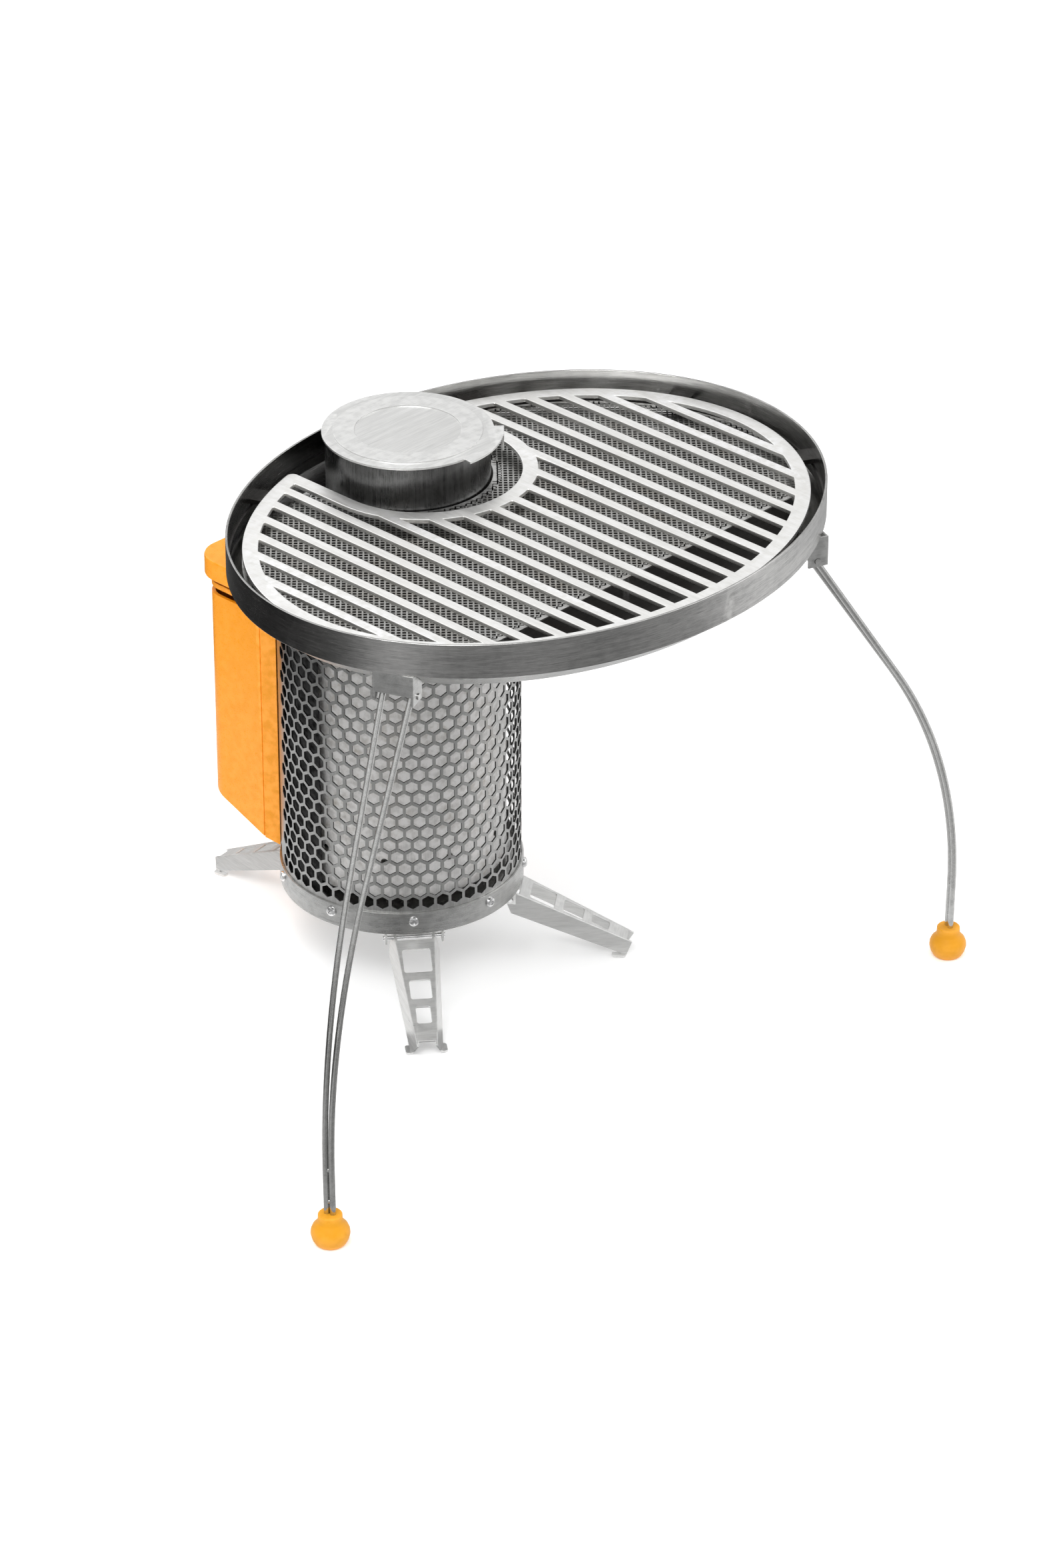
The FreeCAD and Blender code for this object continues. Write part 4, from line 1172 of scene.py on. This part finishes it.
@dataclass(frozen=True)
class ReflectedRing:
    """A flat ring that only reflections see, its tones in equal steps round from +X, back to +X."""

    name: str
    inner: float
    outer: float
    tones: tuple[float, ...]
    sides: int = 96
    height: float = 0.002

    def lay(self, axis: Vector) -> None:
        """Lay the ring on the floor.

        Args:
            axis: The stove's axis, at ground level.
        """
        deselect()
        bpy.ops.mesh.primitive_circle_add(vertices=self.sides, radius=self.outer, fill_type="NGON",
                                          location=(axis.x, axis.y, self.height))
        ring = named(self.name)
        edit(ring)
        bpy.ops.mesh.inset(thickness=self.outer - self.inner)
        bpy.ops.mesh.delete(type="FACE")
        deselect()
        ring.data.materials.append(self.glow(axis))
        ring.visible_camera = False
        ring.visible_diffuse = False
        ring.visible_shadow = False

    def glow(self, axis: Vector) -> bpy.types.Material:
        """Build the ring's material, which glows by direction from the axis.

        Args:
            axis: The stove's axis, at ground level.

        Returns:
            The material.
        """
        surface = Surface(self.name)
        surface.set(Base_Color=(0.0, 0.0, 0.0, 1.0), Roughness=1.0, Specular_IOR_Level=0.0,
                    Emission_Strength=1.0)
        mapping = surface.tree.nodes.new("ShaderNodeMapping")
        mapping.vector_type = "TEXTURE"
        mapping.inputs["Location"].default_value = axis
        mapping.inputs["Rotation"].default_value = (0.0, 0.0, math.pi)
        surface.tree.links.new(surface.plain, mapping.inputs["Vector"])
        around = surface.tree.nodes.new("ShaderNodeTexGradient")
        around.gradient_type = "RADIAL"
        surface.tree.links.new(mapping.outputs["Vector"], around.inputs["Vector"])
        ramp = surface.tree.nodes.new("ShaderNodeValToRGB")
        surface.tree.links.new(around.outputs["Fac"], ramp.inputs["Fac"])
        stops = ramp.color_ramp.elements
        stops[0].color = (*grey(self.tones[0]), 1.0)
        stops[1].color = (*grey(self.tones[-1]), 1.0)
        for index, tone in enumerate(self.tones[1:-1], start=1):
            stops.new(index / (len(self.tones) - 1)).color = (*grey(tone), 1.0)
        surface.feed("Emission Color", ramp.outputs["Color"])
        return surface.material


@dataclass
class Studio:
    """Floor, reflected surroundings, lights and camera."""

    camera_from_axis: Point = (-1.8255, -1.8512, 1.5827)
    camera_ahead: Point = (0.62391, 0.60250, -0.49773)
    lens: float = 131.63
    frame_height: float = 36.0
    far_clip: float = 100.0
    floor_size: float = 60.0
    floor_glow: float = 0.22
    floor_tones: tuple[float, float] = (0.93, 0.91)
    rings: tuple[ReflectedRing, ...] = (
        ReflectedRing("base_reflections", inner=0.10, outer=0.17,
                      tones=(0.80, 0.65, 0.85, 0.90, 0.60, 0.16, 0.50, 0.80, 0.80)),
        ReflectedRing("shell_reflections", inner=0.17, outer=0.34,
                      tones=(0.80, 0.60, 0.80, 0.85, 0.60, 0.42, 0.42, 0.90, 0.80)),
        ReflectedRing("rim_reflections", inner=0.34, outer=4.0,
                      tones=(0.55, 0.35, 0.15, 0.10, 0.05, 0.03, 0.03, 0.05, 0.12, 0.60, 0.30, 0.35, 0.30,
                             0.45, 1.10, 0.85, 0.55)),
    )
    lights: tuple[SoftLight, ...] = (
        SoftLight("key_light", place=(-1.2, -0.6, 2.2), size=1.6, power=40.0),
        SoftLight("fill_light", place=(1.8, -1.4, 1.5), size=1.8, power=16.0),
        SoftLight("back_light", place=(0.6, 2.2, 1.8), size=1.6, power=6.0),
    )
    aim_height: float = 0.2
    sky_heights: tuple[float, float] = (0.0, 0.55)
    sky_tones: tuple[float, float] = (0.25, 1.0)

    def floor(self) -> None:
        """Lay a wide pale floor."""
        deselect()
        bpy.ops.mesh.primitive_plane_add(size=self.floor_size, location=(0, 0, 0))
        floor = named("studio_floor")
        surface = Surface("pale_floor")
        smudges = surface.effect(Effect.SMUDGES, surface.plain)
        light, dark = self.floor_tones
        surface.feed("Base Color", surface.tint(smudges.outputs["Mask"], grey(light), grey(dark)))
        surface.set(Roughness=0.9, Emission_Color=(1.0, 1.0, 1.0, 1.0), Emission_Strength=self.floor_glow)
        floor.data.materials.append(surface.material)

    def room(self) -> None:
        """Light the room evenly from above, darker towards the horizon."""
        world = bpy.data.worlds.new("soft_room")
        world.use_nodes = True
        tree = world.node_tree
        coordinates = tree.nodes.new("ShaderNodeTexCoord")
        parts = tree.nodes.new("ShaderNodeSeparateXYZ")
        tree.links.new(coordinates.outputs["Generated"], parts.inputs["Vector"])
        strength = add_range(tree, parts.outputs["Z"], *self.sky_heights, *self.sky_tones)
        tree.links.new(strength, tree.nodes["Background"].inputs["Strength"])
        tree.nodes["Background"].inputs["Color"].default_value = (1, 1, 1, 1)
        bpy.context.scene.world = world

    def build(self, axis: Vector) -> None:
        """Set up the studio round the stove.

        Args:
            axis: The stove's axis, at ground level.
        """
        self.floor()
        for ring in self.rings:
            ring.lay(axis)
        self.room()
        aim = axis + Vector((0, 0, self.aim_height))
        for light in self.lights:
            light.hang(aim)
        bpy.context.scene.view_settings.view_transform = "Standard"
        data = bpy.data.cameras.new("photo_camera")
        data.sensor_fit = "VERTICAL"
        data.sensor_height = self.frame_height
        data.lens = self.lens
        data.clip_end = self.far_clip
        camera = bpy.data.objects.new("photo_camera", data)
        bpy.context.scene.collection.objects.link(camera)
        camera.location = axis + Vector(self.camera_from_axis)
        camera.rotation_euler = Vector(self.camera_ahead).to_track_quat("-Z", "Y").to_euler()
        bpy.context.scene.camera = camera


def main() -> None:
    """Build every sub-assembly in order."""
    stove = StoveBody()
    stove.build()
    for side in Side:
        StoveLeg(side).build()
    dress_node("leg_hinge_pins", SCREW)
    FanModule().build()
    OvalGrill().build()
    CookingGrate().build()
    PortLid().build()
    for side in (Side.LEFT, Side.RIGHT):
        WireLeg(side).build()
    Studio().build(stove.axis())
    log.info("all pieces are in place")


if __name__ == "__main__":
    main()
